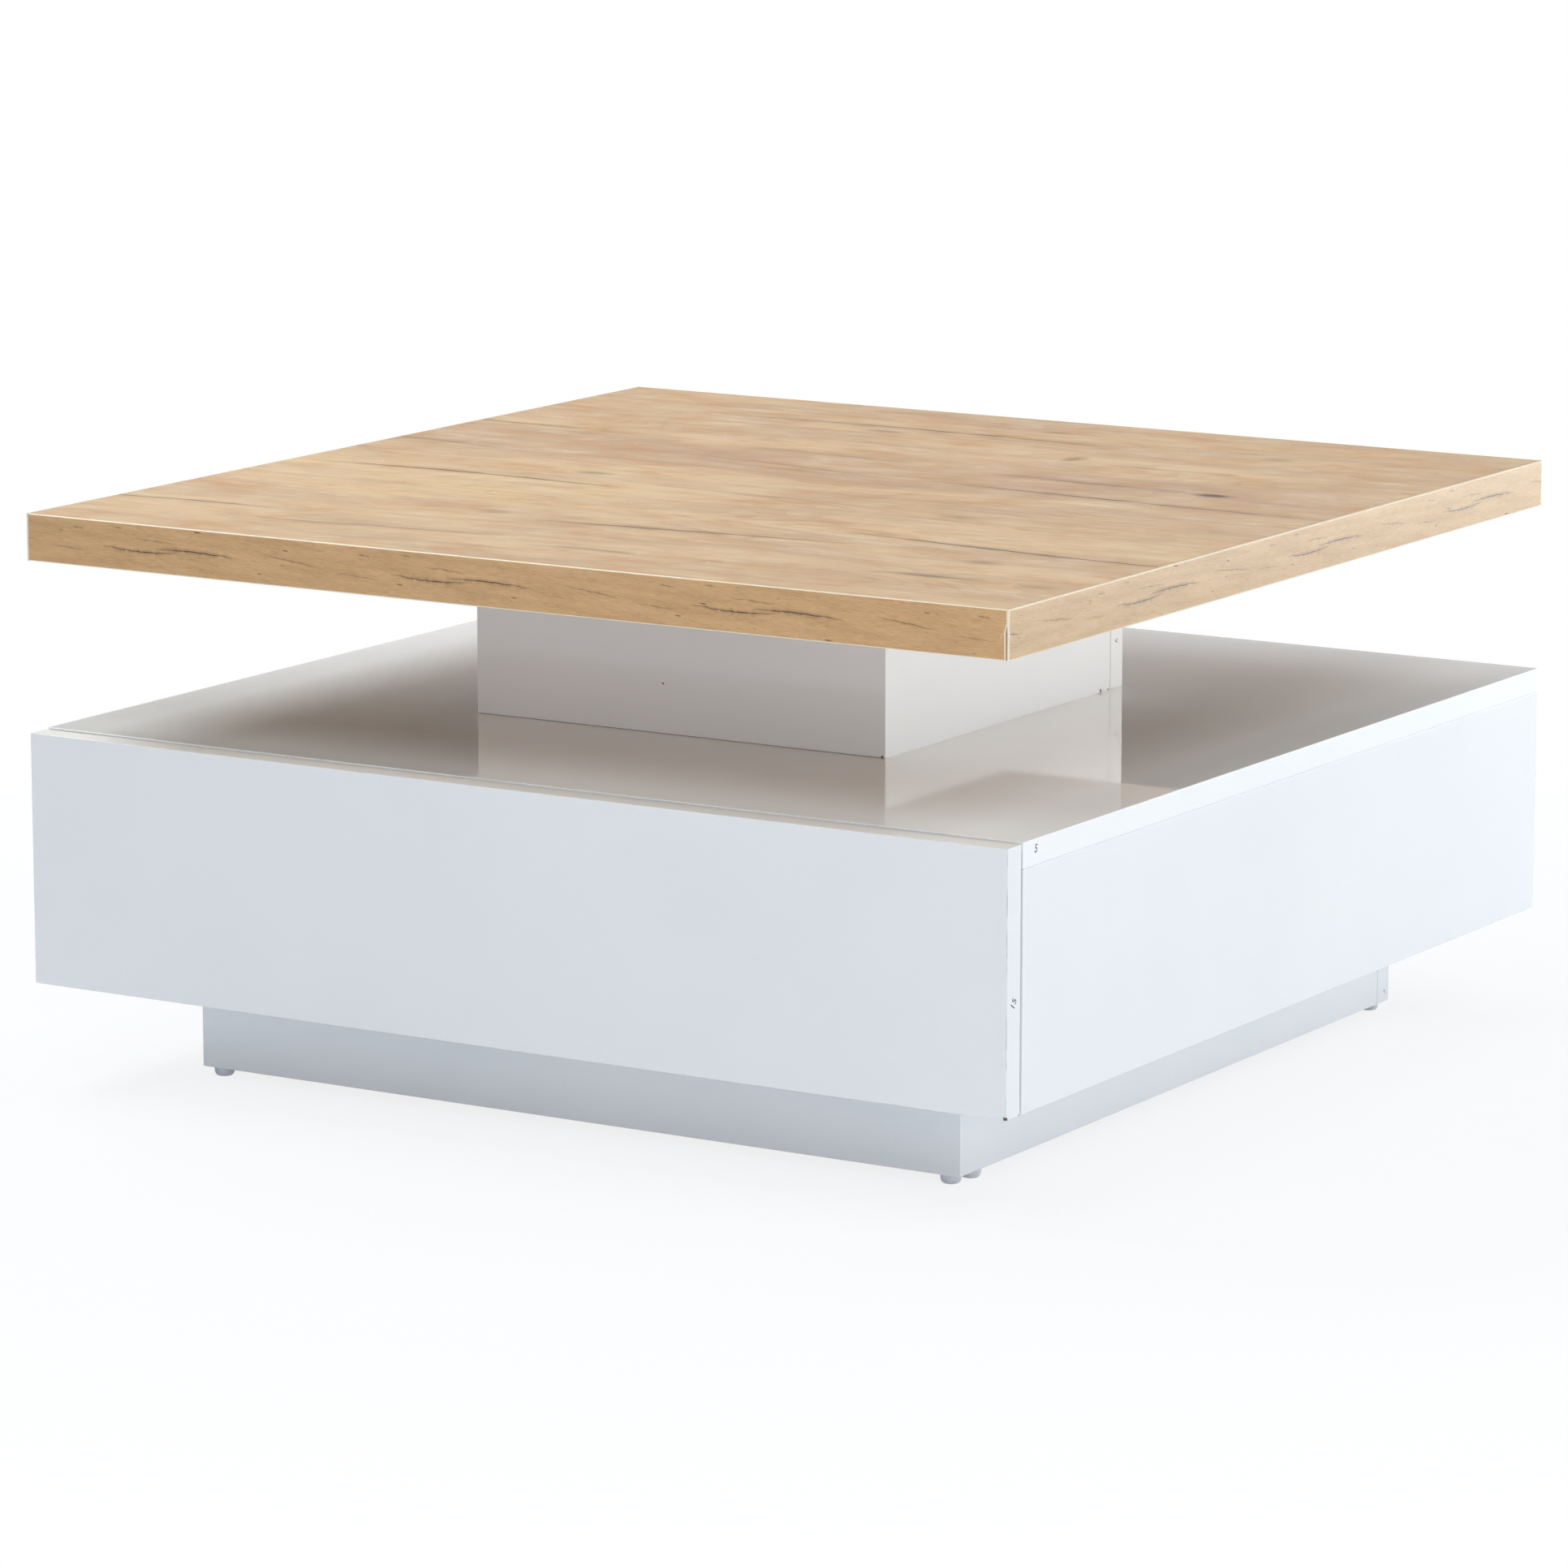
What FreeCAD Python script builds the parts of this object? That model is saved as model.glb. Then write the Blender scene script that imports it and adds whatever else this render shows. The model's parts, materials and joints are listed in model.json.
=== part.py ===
import FreeCAD, Part
import math
import os

# Swivel coffee table: a thick square top turns on a ball-bearing plate, above a short column that stands on
# a square body with one full-width drawer. The body stands on an inset plinth with small nailed glides.
#
# Millimetres. +X is to the right, +Y to the back, +Z up; the drawer opens towards -Y. The origin is on the
# floor, under the middle of the body.

V = FreeCAD.Vector

# ---- Overall sizes -------------------------------------------------------------------------------------------
TABLE_W = 800.0          # both tiers, left to right
TABLE_D = 800.0          # both tiers, front to back, drawer front included
TOP_T = 34.0             # thick top, with its edge bands
BAND_T = 2.0             # edge band round the top
BAND_R = 1.0             # rounded outer arris of an edge band

BOARD = 18.0             # white boards of body, column and plinth
EDGE_R = 0.6             # softened arris of a white board
TIP_R = 0.4              # softened tip where two boards meet in a mitre

SIDE_H = 165.0           # body sides, under the body's top board
COLUMN_W = 342.0         # column, left to right
COLUMN_D = 342.0         # column, front to back
COLUMN_H = 115.0
PLINTH_H = 66.0
PLINTH_IN_FRONT = 80.5   # the plinth stands in from the table's outline
PLINTH_IN_BACK = 77.5
PLINTH_IN_LEFT = 88.5
PLINTH_IN_RIGHT = 81.5

# ---- Glides --------------------------------------------------------------------------------------------------
GLIDE_R = 8.5
GLIDE_H = 7.0
GLIDE_FOOT_R = 4.5       # flat middle of the domed sole
GLIDE_DOME_H = 4.2       # from the sole up to the glide's straight side
GLIDE_END_INSET = 12.0   # from the end of a front or back plinth board
GLIDE_SIDE_INSET = 12.0  # from the front end of a side board's inner face
NAIL_R = 1.1
NAIL_L = 16.0            # driven into the board
NAIL_SINK = 2.5          # its head's top, above the sole

# ---- Turntable -----------------------------------------------------------------------------------------------
PLATE_W = 300.0          # square pressed plates
PLATE_T = 1.2
PLATE_CORNER_R = 14.0
BALL_R = 2.38
BALL_PITCH = 28.0        # along the race, from ball to ball
BALL_PLAY = 0.08         # between a ball and its groove
RACE_R = 110.0           # circle of the balls' centres
RACE_LIFT = 0.34         # back of the groove clear of the board behind it
CAGE_T = 1.0
CAGE_WIDTH = 12.0
CAGE_PLAY = 0.3          # cage to either plate
POCKET_PLAY = 0.15       # ball to its hole in the cage
LAND_IN = 16.0           # raised land, from the race towards the middle
LAND_OUT = 10.0          # and from the race outwards
SLOPE_RUN = 4.0          # from the land down to the flat square
EYELET_T = 0.8           # rolled ring that holds the plates together
EYELET_LIP = 4.0
EYELET_PLAY = 0.3
PLATE_SCREW_INSET = 12.0 # from the plate's edges

# ---- Drawer --------------------------------------------------------------------------------------------------
RUNNER_L = 400.0         # length of the runners, and so of the drawer's sides
FRONT_H = 182.0
FRONT_GAP = 2.5          # drawer front to carcass, filled by the buffers
BOX_T = 16.0             # drawer side and back boards
BOX_H = 110.0
BOX_LIFT = 17.0          # lower edge of the drawer sides above the body's bottom board
BOX_REAR_SPACE = 22.0    # from the drawer's back to the partition
PANEL_T = 3.0            # thin bottom
PANEL_LIFT = 8.0         # its groove above the lower edge
GROOVE_DEPTH = 5.0
GROOVE_PLAY = 0.1        # round the bottom panel in its groove
BUFFER_R = 4.0
BUFFER_PLAY = 0.3        # to the carcass when the drawer is shut
BUFFER_INSET = 22.0      # above and below the ends of the side boards

# ---- Roller runners ------------------------------------------------------------------------------------------
RUNNER_SPACE = 12.5      # beside the drawer, for both rails
RAIL_T = 1.2
RAIL_SETBACK = 2.0       # cabinet rail behind the front edge of the side board
RAIL_H = 30.0
RAIL_LIFT = 13.0         # cabinet rail above the bottom board
TRACK_W = 10.5           # lower flange of the cabinet rail
GUARD_W = 8.0            # upper flange of the cabinet rail
GUARD_CUT = 26.0         # upper flange left off at the front, where the drawer is hung in
RUN_FLANGE = 10.0        # outward running flange of the drawer rail
UNDER_FLANGE = 14.0      # flange under the drawer side
FLANGE_PLAY = 1.0        # running flange under the upper flange
ROLLER_R = 9.0
ROLLER_W = 6.6
ROLLER_EDGE_R = 0.55
ROLLER_BORE_R = 2.5
DISH_W = 3.0             # ring-shaped dish moulded in each face of a roller
DISH_DEPTH = 1.65
ROLLER_PLAY = 0.08       # bore to rivet
ROLLER_GAP = 0.3         # rim to the flange it runs on
ROLLER_END = 12.0        # roller centre from the end of its rail
RIVET_HEAD_R = 3.6
RIVET_HEAD_T = 0.6
RIVET_HEAD_GAP = 0.5     # rivet head to the opposite rail
DRAWER_TRAVEL = 300.0
STOP_H = 2.0             # bump that stops the drawer's roller
STOP_L = 6.0
STOP_CREST_R = 1.8       # rounded crest of the bump

# ---- Fittings ------------------------------------------------------------------------------------------------
CAM_R = 7.5
CAM_DEPTH = 12.5
CAM_SETBACK = 24.0       # cam centre from the joint
CAM_SLOT_W = 1.6
CAM_SLOT_DEPTH = 2.0
BOLT_R = 3.0
BOLT_NECK_R = 1.5        # thin neck that the cam's jaws reach round
BOLT_NECK_L = 3.75
BOLT_HEAD_R = 3.5
BOLT_HEAD_L = 2.5
BOLT_WAY_R = 4.0         # bore that lets the bolt's head through
BOLT_FOOT_R = 2.4        # threaded foot in the mating board
BOLT_FOOT_L = 10.5
DOWEL_R = 4.0
DOWEL_SHALLOW = 11.0     # depth in the face of a board
DOWEL_DEEP = 19.0        # depth in the end of a board
BORE_PLAY = 0.05         # round bolts, cams, screws and nails in their bores
END_PLAY = 0.5           # beyond the end of a bolt, dowel or screw

SCREW_R = 1.9
SCREW_TIP = 3.0
SCREW_POINT_R = 0.6
SCREW_HEAD_R = 3.8
SCREW_HEAD_H = 1.4
HEAD_TAPER = 0.7         # top of a screw's head, as a share of its width
RAIL_SCREW_R = 1.6
RAIL_SCREW_HEAD_R = 3.0
RAIL_SCREW_HEAD_H = 1.0
RAIL_SCREW_L = 13.0
RAIL_SCREW_FRONT = 70.0  # from the front end of a rail
RAIL_SCREW_REAR = 90.0   # from the rear end of a rail
PLATE_TO_TOP_SCREW = 22.0
PLATE_TO_POST_SCREW = 42.0
FIXING_SCREW_L = 45.0    # through a board into a post or block
POST_W = 30.0            # corner posts in the column
BLOCK_W = 30.0           # corner blocks in the plinth
BLOCK_RISE = 6.0         # blocks end this far above the plinth's lower edge
FITTING_INSET = 60.0     # first fitting from the end of a joint
DOWEL_STEP = 64.0        # dowel beside its fitting
BACK_DOWEL_INSET = 40.0  # dowels of back and partition, from top and bottom
BOX_FITTING_LOW = 40.0   # drawer's lower fittings, above its lower edge
BOX_FITTING_HIGH = 20.0  # drawer's upper fittings, below its upper edge

# ---- Levels and places worked out from the sizes -------------------------------------------------------------
Z_BODY = GLIDE_H + PLINTH_H
Z_FLOOR_BOARD = Z_BODY + BOARD
Z_SIDE_TOP = Z_BODY + SIDE_H
Z_BODY_TOP = Z_SIDE_TOP + BOARD
Z_COLUMN_TOP = Z_BODY_TOP + COLUMN_H
LAND_HALF_GAP = CAGE_T / 2 + CAGE_PLAY
SWIVEL_H = 2 * (BALL_R + BALL_PLAY + PLATE_T + RACE_LIFT)
Z_RACE = Z_COLUMN_TOP + SWIVEL_H / 2
Z_TOP = Z_COLUMN_TOP + SWIVEL_H

X_OUT = TABLE_W / 2
X_IN = X_OUT - BOARD
Y_FRONT = -TABLE_D / 2
Y_BACK = TABLE_D / 2
Y_FRONT_REAR = Y_FRONT + BOARD
Y_CARCASS = Y_FRONT_REAR + FRONT_GAP
Y_BACK_BOARD = Y_BACK - BOARD

X_BOX = X_IN - RUNNER_SPACE
X_BOX_IN = X_BOX - BOX_T
Y_BOX_REAR = Y_FRONT_REAR + RUNNER_L
Z_BOX = Z_FLOOR_BOARD + BOX_LIFT
Z_PANEL = Z_BOX + PANEL_LIFT
Y_PARTITION = Y_BOX_REAR + BOX_REAR_SPACE

Z_RAIL = Z_FLOOR_BOARD + RAIL_LIFT
Z_TRACK = Z_RAIL + RAIL_T
Z_RUN_FLANGE = Z_RAIL + RAIL_H - RAIL_T - FLANGE_PLAY - RAIL_T
Y_RAIL = Y_CARCASS + RAIL_SETBACK
Z_CABINET_ROLLER = Z_RUN_FLANGE - ROLLER_GAP - ROLLER_R
Y_CABINET_ROLLER = Y_RAIL + ROLLER_END
Z_DRAWER_ROLLER = Z_TRACK + ROLLER_GAP + ROLLER_R
Y_DRAWER_ROLLER = Y_FRONT_REAR + RUNNER_L - ROLLER_END

POST_X = COLUMN_W / 2 - BOARD - POST_W / 2
POST_Y = COLUMN_D / 2 - BOARD - POST_W / 2
PLATE_SCREW = PLATE_W / 2 - PLATE_SCREW_INSET
PLINTH_W = TABLE_W - PLINTH_IN_LEFT - PLINTH_IN_RIGHT
PLINTH_D = TABLE_D - PLINTH_IN_FRONT - PLINTH_IN_BACK
PLINTH_X = (PLINTH_IN_LEFT - PLINTH_IN_RIGHT) / 2
PLINTH_Y = (PLINTH_IN_FRONT - PLINTH_IN_BACK) / 2
BLOCK_X = PLINTH_W / 2 - BOARD - BLOCK_W / 2
BLOCK_Y = PLINTH_D / 2 - BOARD - BLOCK_W / 2

SIDES = (("left", -1), ("right", 1))
CORNERS = ((-1, -1), (1, -1), (1, 1), (-1, 1))

nodes = {}


# ---- Basic solids --------------------------------------------------------------------------------------------
def box(x, y, z):
    """A box from (low, high) pairs, given in either order along x."""
    x0, x1 = sorted(x)
    return Part.makeBox(x1 - x0, y[1] - y[0], z[1] - z[0], V(x0, y[0], z[0]))


def board(x, y, z, radius=EDGE_R):
    """A board with every arris softened."""
    solid = box(x, y, z)
    return solid.makeFillet(radius, solid.Edges)


def cylinder(start, direction, radius, length):
    return Part.makeCylinder(radius, length, start, direction)


def prism(points, z):
    """An upright prism over a flat outline of (x, y) points."""
    outline = Part.makePolygon([V(px, py, z[0]) for px, py in points + points[:1]])
    return Part.Face(outline).extrude(V(0, 0, z[1] - z[0]))


def revolve(wire):
    """A full turn about Z of a closed wire drawn in the XZ plane."""
    return Part.makeSolid(Part.Face(wire).revolve(V(0, 0, 0), V(0, 0, 1), 360))


def chain(points):
    """Edges through the points; a triple of points is an arc through its three."""
    edges = []
    for step in points:
        if len(step) == 3:
            edges.append(Part.Arc(*step).toShape())
        else:
            edges.append(Part.LineSegment(*step).toShape())
    return Part.Wire(edges)


def one_solid(shape):
    """The single solid of a boolean result, with split faces merged."""
    clean = shape.removeSplitter()
    return clean.Solids[0] if len(clean.Solids) == 1 else clean


def mirrored_x(shape):
    return shape.mirror(V(0, 0, 0), V(1, 0, 0))


def group(solids):
    """Identical separate pieces as one node."""
    return Part.makeCompound(solids)


def add(name, shape):
    nodes[name] = shape


def cut_from(name, tools):
    """Cuts bores for fittings out of a board that is already there."""
    nodes[name] = one_solid(nodes[name].cut(tools))


# ---- Fittings ------------------------------------------------------------------------------------------------
def screw(seat, direction, length, radius=SCREW_R, head_r=SCREW_HEAD_R, head_h=SCREW_HEAD_H):
    """A pan-head screw whose head sits on the point seat; direction is the way it is driven."""
    shank = cylinder(seat, direction, radius, length - SCREW_TIP)
    neck = seat + direction * (length - SCREW_TIP)
    point = Part.makeCone(radius, SCREW_POINT_R, SCREW_TIP, neck, direction)
    head = Part.makeCone(head_r, head_r * HEAD_TAPER, head_h, seat, direction * -1)
    return shank.fuse([point, head]).removeSplitter()


def screw_bore(seat, direction, length, radius=SCREW_R):
    return cylinder(seat, direction, radius + BORE_PLAY, length + END_PLAY)


def dowel(joint, into_end):
    """A dowel across a joint: joint is on the meeting faces, into_end points into the board's end."""
    start = joint - into_end * DOWEL_SHALLOW
    return cylinder(start, into_end, DOWEL_R, DOWEL_SHALLOW + DOWEL_DEEP)


def dowel_bore(joint, into_end):
    start = joint - into_end * (DOWEL_SHALLOW + END_PLAY)
    return cylinder(start, into_end, DOWEL_R + BORE_PLAY, DOWEL_SHALLOW + DOWEL_DEEP + 2 * END_PLAY)


def cam_bolt(joint, into_end):
    """Threaded foot in the mating board, a smooth shank, and a head inside the cam."""
    foot = cylinder(joint, into_end * -1, BOLT_FOOT_R, BOLT_FOOT_L)
    head_from = CAM_SETBACK - BOLT_HEAD_L
    neck_from = head_from - BOLT_NECK_L
    shank = cylinder(joint, into_end, BOLT_R, neck_from)
    neck = cylinder(joint + into_end * neck_from, into_end, BOLT_NECK_R, BOLT_NECK_L)
    head = cylinder(joint + into_end * head_from, into_end, BOLT_HEAD_R, BOLT_HEAD_L)
    return foot.fuse([shank, neck, head]).removeSplitter()


def cam_lock(joint, into_end, out_of_face, face_distance):
    """The cam that pulls the bolt: a disc sunk in the board's face, open towards the bolt, slot outside."""
    centre = joint + into_end * CAM_SETBACK
    face = centre + out_of_face * face_distance
    disc = cylinder(face, out_of_face * -1, CAM_R, CAM_DEPTH)
    throat = cylinder(joint, into_end, BOLT_WAY_R, CAM_SETBACK + END_PLAY)
    across = into_end.cross(out_of_face)
    slot = Part.makeBox(2 * CAM_R, CAM_SLOT_W, CAM_SLOT_DEPTH, V(-CAM_R, -CAM_SLOT_W / 2, -CAM_SLOT_DEPTH))
    turn = FreeCAD.Rotation(into_end, across, out_of_face, "ZXY")
    slot.Placement = FreeCAD.Placement(face, turn)
    return disc.cut([throat, slot])


def cam_bores(joint, into_end, out_of_face, face_distance):
    """Bores of one cam fitting: foot in the mating board, then way in and cam seat in its own."""
    centre = joint + into_end * CAM_SETBACK
    face = centre + out_of_face * face_distance
    foot = cylinder(joint, into_end * -1, BOLT_FOOT_R + BORE_PLAY, BOLT_FOOT_L + END_PLAY)
    way_in = cylinder(joint, into_end, BOLT_WAY_R, CAM_SETBACK)
    seat = cylinder(face, out_of_face * -1, CAM_R + BORE_PLAY, CAM_DEPTH + BORE_PLAY)
    return foot, [way_in, seat]


# ---- Top -----------------------------------------------------------------------------------------------------
def make_top():
    """The board, and four edge bands: the side bands run through, the front and back ones lie between them."""
    z = (Z_TOP, Z_TOP + TOP_T)
    x_core = X_OUT - BAND_T
    y_core = Y_BACK - BAND_T
    add("top_board", box((-x_core, x_core), (-y_core, y_core), z))
    for side, sx in SIDES:
        band = box((sx * x_core, sx * X_OUT), (Y_FRONT, Y_BACK), z)
        outer = [e for e in band.Edges if on_plane(e, "x", sx * X_OUT)]
        add("top_band_" + side, band.makeFillet(BAND_R, outer))
    for face, sy in (("front", -1), ("back", 1)):
        y = sorted((sy * y_core, sy * Y_BACK))
        band = box((-x_core, x_core), y, z)
        outer = [e for e in band.Edges if on_plane(e, "y", sy * Y_BACK) and e.Length > TOP_T + 1]
        add("top_band_" + face, band.makeFillet(BAND_R, outer))


def on_plane(edge, axis, value):
    """True where both ends of the edge lie on the plane axis = value."""
    return all(abs(getattr(vertex.Point, axis) - value) < 1e-6 for vertex in edge.Vertexes)


# ---- Column and plinth: three boards mitred round the front, one across the back -------------------------------
def mitred_board(points, z, outer_axis, outer_value):
    """A board with one or two mitred ends; the arrises of its outer face are softened."""
    solid = prism(points, z)
    outer = [e for e in solid.Edges if on_plane(e, outer_axis, outer_value)]
    return solid.makeFillet(TIP_R, outer)


def make_square_frame(prefix, width, depth, centre, z):
    """Front, left and right boards mitred together, and a back board that covers the ends of the sides."""
    cx, cy = centre
    left, right = cx - width / 2, cx + width / 2
    front, back = cy - depth / 2, cy + depth / 2
    rear = back - BOARD
    outline = [(left, front), (right, front), (right - BOARD, front + BOARD), (left + BOARD, front + BOARD)]
    add(prefix + "_front", mitred_board(outline, z, "y", front))
    outline = [(left, front), (left + BOARD, front + BOARD), (left + BOARD, rear), (left, rear)]
    add(prefix + "_left", mitred_board(outline, z, "x", left))
    outline = [(right, front), (right - BOARD, front + BOARD), (right - BOARD, rear), (right, rear)]
    add(prefix + "_right", mitred_board(outline, z, "x", right))
    add(prefix + "_back", board((left, right), (rear, back), z))


def make_column():
    """The four boards, the lid that carries the turntable, and a post in each corner under the lid."""
    make_square_frame("column", COLUMN_W, COLUMN_D, (0, 0), (Z_BODY_TOP, Z_COLUMN_TOP))
    x, y = COLUMN_W / 2 - BOARD, COLUMN_D / 2 - BOARD
    add("column_lid", box((-x, x), (-y, y), (Z_COLUMN_TOP - BOARD, Z_COLUMN_TOP)))
    half = POST_W / 2
    z_post = (Z_BODY_TOP, Z_COLUMN_TOP - BOARD)
    posts, screws = [], []
    for sx, sy in CORNERS:
        px, py = sx * POST_X, sy * POST_Y
        post = box((px - half, px + half), (py - half, py + half), z_post)
        seat = V(px, py, Z_SIDE_TOP)
        bore = screw_bore(seat, V(0, 0, 1), FIXING_SCREW_L)
        screws.append(screw(seat, V(0, 0, 1), FIXING_SCREW_L))
        posts.append(post.cut(bore))
        cut_from("body_top", [bore])
    add("column_posts", group(posts))
    add("column_screws", group(screws))


def make_plinth():
    """The four boards, a block in each corner, and screws down through the body's bottom board."""
    make_square_frame("plinth", PLINTH_W, PLINTH_D, (PLINTH_X, PLINTH_Y), (GLIDE_H, Z_BODY))
    half = BLOCK_W / 2
    blocks, screws = [], []
    for sx, sy in CORNERS:
        px, py = PLINTH_X + sx * BLOCK_X, PLINTH_Y + sy * BLOCK_Y
        block = box((px - half, px + half), (py - half, py + half), (GLIDE_H + BLOCK_RISE, Z_BODY))
        seat = V(px, py, Z_FLOOR_BOARD)
        bore = screw_bore(seat, V(0, 0, -1), FIXING_SCREW_L)
        screws.append(screw(seat, V(0, 0, -1), FIXING_SCREW_L))
        blocks.append(block.cut(bore))
        cut_from("body_bottom", [bore])
    add("plinth_blocks", group(blocks))
    add("plinth_screws", group(screws))


def make_glides():
    """Nailed glides with a domed sole: two under the front board, two under the back, one under each side."""
    x_end = PLINTH_W / 2 - GLIDE_END_INSET
    x_side = PLINTH_W / 2 - BOARD / 2
    y_board = PLINTH_D / 2 - BOARD / 2
    y_side = -PLINTH_D / 2 + BOARD + GLIDE_SIDE_INSET
    places = []
    for side, sx in SIDES:
        places.append((PLINTH_X + sx * x_end, PLINTH_Y - y_board, "plinth_front"))
        places.append((PLINTH_X + sx * x_end, PLINTH_Y + y_board, "plinth_back"))
        places.append((PLINTH_X + sx * x_side, PLINTH_Y + y_side, "plinth_" + side))
    sole, seat = V(0, 0, 0), V(0, 0, GLIDE_H)
    foot, rim, shoulder = V(GLIDE_FOOT_R, 0, 0), V(GLIDE_R, 0, GLIDE_DOME_H), V(GLIDE_R, 0, GLIDE_H)
    glide = revolve(chain([(sole, foot), (foot, dome_point(), rim), (rim, shoulder), (shoulder, seat), (seat, sole)]))
    nail_axis = V(0, 0, NAIL_SINK)
    nail = cylinder(nail_axis, V(0, 0, 1), NAIL_R, GLIDE_H - NAIL_SINK + NAIL_L)
    bore = cylinder(nail_axis, V(0, 0, 1), NAIL_R + BORE_PLAY, GLIDE_H - NAIL_SINK + NAIL_L + END_PLAY)
    glide = glide.cut(bore)
    glides, nails = [], []
    for px, py, plinth_board in places:
        at = V(px, py, 0)
        glides.append(glide.translated(at))
        nails.append(nail.translated(at))
        cut_from(plinth_board, [bore.translated(at)])
    add("plinth_glides", group(glides))
    add("glide_nails", group(nails))


def dome_point():
    """The middle of the quarter ellipse from the sole's flat out to the glide's side."""
    share = math.sin(math.pi / 4)
    return V(GLIDE_FOOT_R + (GLIDE_R - GLIDE_FOOT_R) * share, 0, GLIDE_DOME_H * (1 - share))


# ---- Body ----------------------------------------------------------------------------------------------------
def make_body():
    """The carcass: top board over the sides, bottom, back and partition between them."""
    add("body_top", board((-X_OUT, X_OUT), (Y_CARCASS, Y_BACK), (Z_SIDE_TOP, Z_BODY_TOP)))
    for side, sx in SIDES:
        add("body_" + side, board((sx * X_IN, sx * X_OUT), (Y_CARCASS, Y_BACK), (Z_BODY, Z_SIDE_TOP)))
    add("body_bottom", board((-X_IN, X_IN), (Y_CARCASS, Y_BACK_BOARD), (Z_BODY, Z_FLOOR_BOARD)))
    add("body_back", board((-X_IN, X_IN), (Y_BACK_BOARD, Y_BACK), (Z_BODY, Z_SIDE_TOP)))
    add("body_partition", box((-X_IN, X_IN), (Y_PARTITION, Y_PARTITION + BOARD), (Z_FLOOR_BOARD, Z_SIDE_TOP)))
    bolts, cams, dowels = [], [], []
    half = BOARD / 2
    for side, sx in SIDES:
        inward = V(-sx, 0, 0)
        for y, step in ((Y_CARCASS + FITTING_INSET, 1), (Y_BACK - FITTING_INSET - BOARD, -1)):
            # top board down onto the side: cam in the side's inner face
            joint = V(sx * (X_OUT - half), y, Z_SIDE_TOP)
            fit_cam(bolts, cams, joint, V(0, 0, -1), inward, half, "body_top", "body_" + side)
            fit_dowel(dowels, joint + V(0, step * DOWEL_STEP, 0), V(0, 0, -1), "body_top", "body_" + side)
            # bottom board against the side: cam in the bottom board's underside
            joint = V(sx * X_IN, y, Z_BODY + half)
            fit_cam(bolts, cams, joint, inward, V(0, 0, -1), half, "body_" + side, "body_bottom")
            fit_dowel(dowels, joint + V(0, step * DOWEL_STEP, 0), inward, "body_" + side, "body_bottom")
        for z in (Z_BODY + BACK_DOWEL_INSET, Z_SIDE_TOP - BACK_DOWEL_INSET):
            fit_dowel(dowels, V(sx * X_IN, Y_BACK - half, z), inward, "body_" + side, "body_back")
            fit_dowel(dowels, V(sx * X_IN, Y_PARTITION + half, z), inward, "body_" + side, "body_partition")
    add("body_cam_bolts", group(bolts))
    add("body_cam_locks", group(cams))
    add("body_dowels", group(dowels))


def fit_cam(bolts, cams, joint, into_end, out_of_face, face_distance, mating_board, cam_board):
    """Adds one cam fitting and bores both of its boards."""
    foot, own = cam_bores(joint, into_end, out_of_face, face_distance)
    bolts.append(cam_bolt(joint, into_end))
    cams.append(cam_lock(joint, into_end, out_of_face, face_distance))
    cut_from(mating_board, [foot])
    cut_from(cam_board, own)


def fit_dowel(dowels, joint, into_end, face_board, end_board):
    """Adds one dowel and bores both of its boards."""
    bore = dowel_bore(joint, into_end)
    dowels.append(dowel(joint, into_end))
    cut_from(face_board, [bore])
    cut_from(end_board, [bore])


# ---- Turntable -----------------------------------------------------------------------------------------------
def make_turntable():
    """Two pressed square plates face to face, with balls in a cage between them and a ring through both."""
    lower = pressed_plate()
    upper = lower.mirror(V(0, 0, Z_RACE), V(0, 0, 1))
    add("turntable_lower_plate", lower)
    add("turntable_upper_plate", upper)
    make_balls_and_cage()
    make_eyelet()
    down, up = [], []
    for sx, sy in CORNERS:
        low_seat = V(sx * PLATE_SCREW, sy * PLATE_SCREW, Z_COLUMN_TOP + PLATE_T)
        high_seat = V(sx * PLATE_SCREW, sy * PLATE_SCREW, Z_TOP - PLATE_T)
        low_bore = screw_bore(low_seat, V(0, 0, -1), PLATE_TO_POST_SCREW)
        high_bore = screw_bore(high_seat, V(0, 0, 1), PLATE_TO_TOP_SCREW)
        down.append(screw(low_seat, V(0, 0, -1), PLATE_TO_POST_SCREW))
        up.append(screw(high_seat, V(0, 0, 1), PLATE_TO_TOP_SCREW))
        cut_from("turntable_lower_plate", [low_bore])
        cut_from("column_lid", [low_bore])
        nodes["column_posts"] = nodes["column_posts"].cut(low_bore)
        cut_from("turntable_upper_plate", [high_bore])
        cut_from("top_board", [high_bore])
    add("turntable_lower_screws", group(down))
    add("turntable_upper_screws", group(up))


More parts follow.
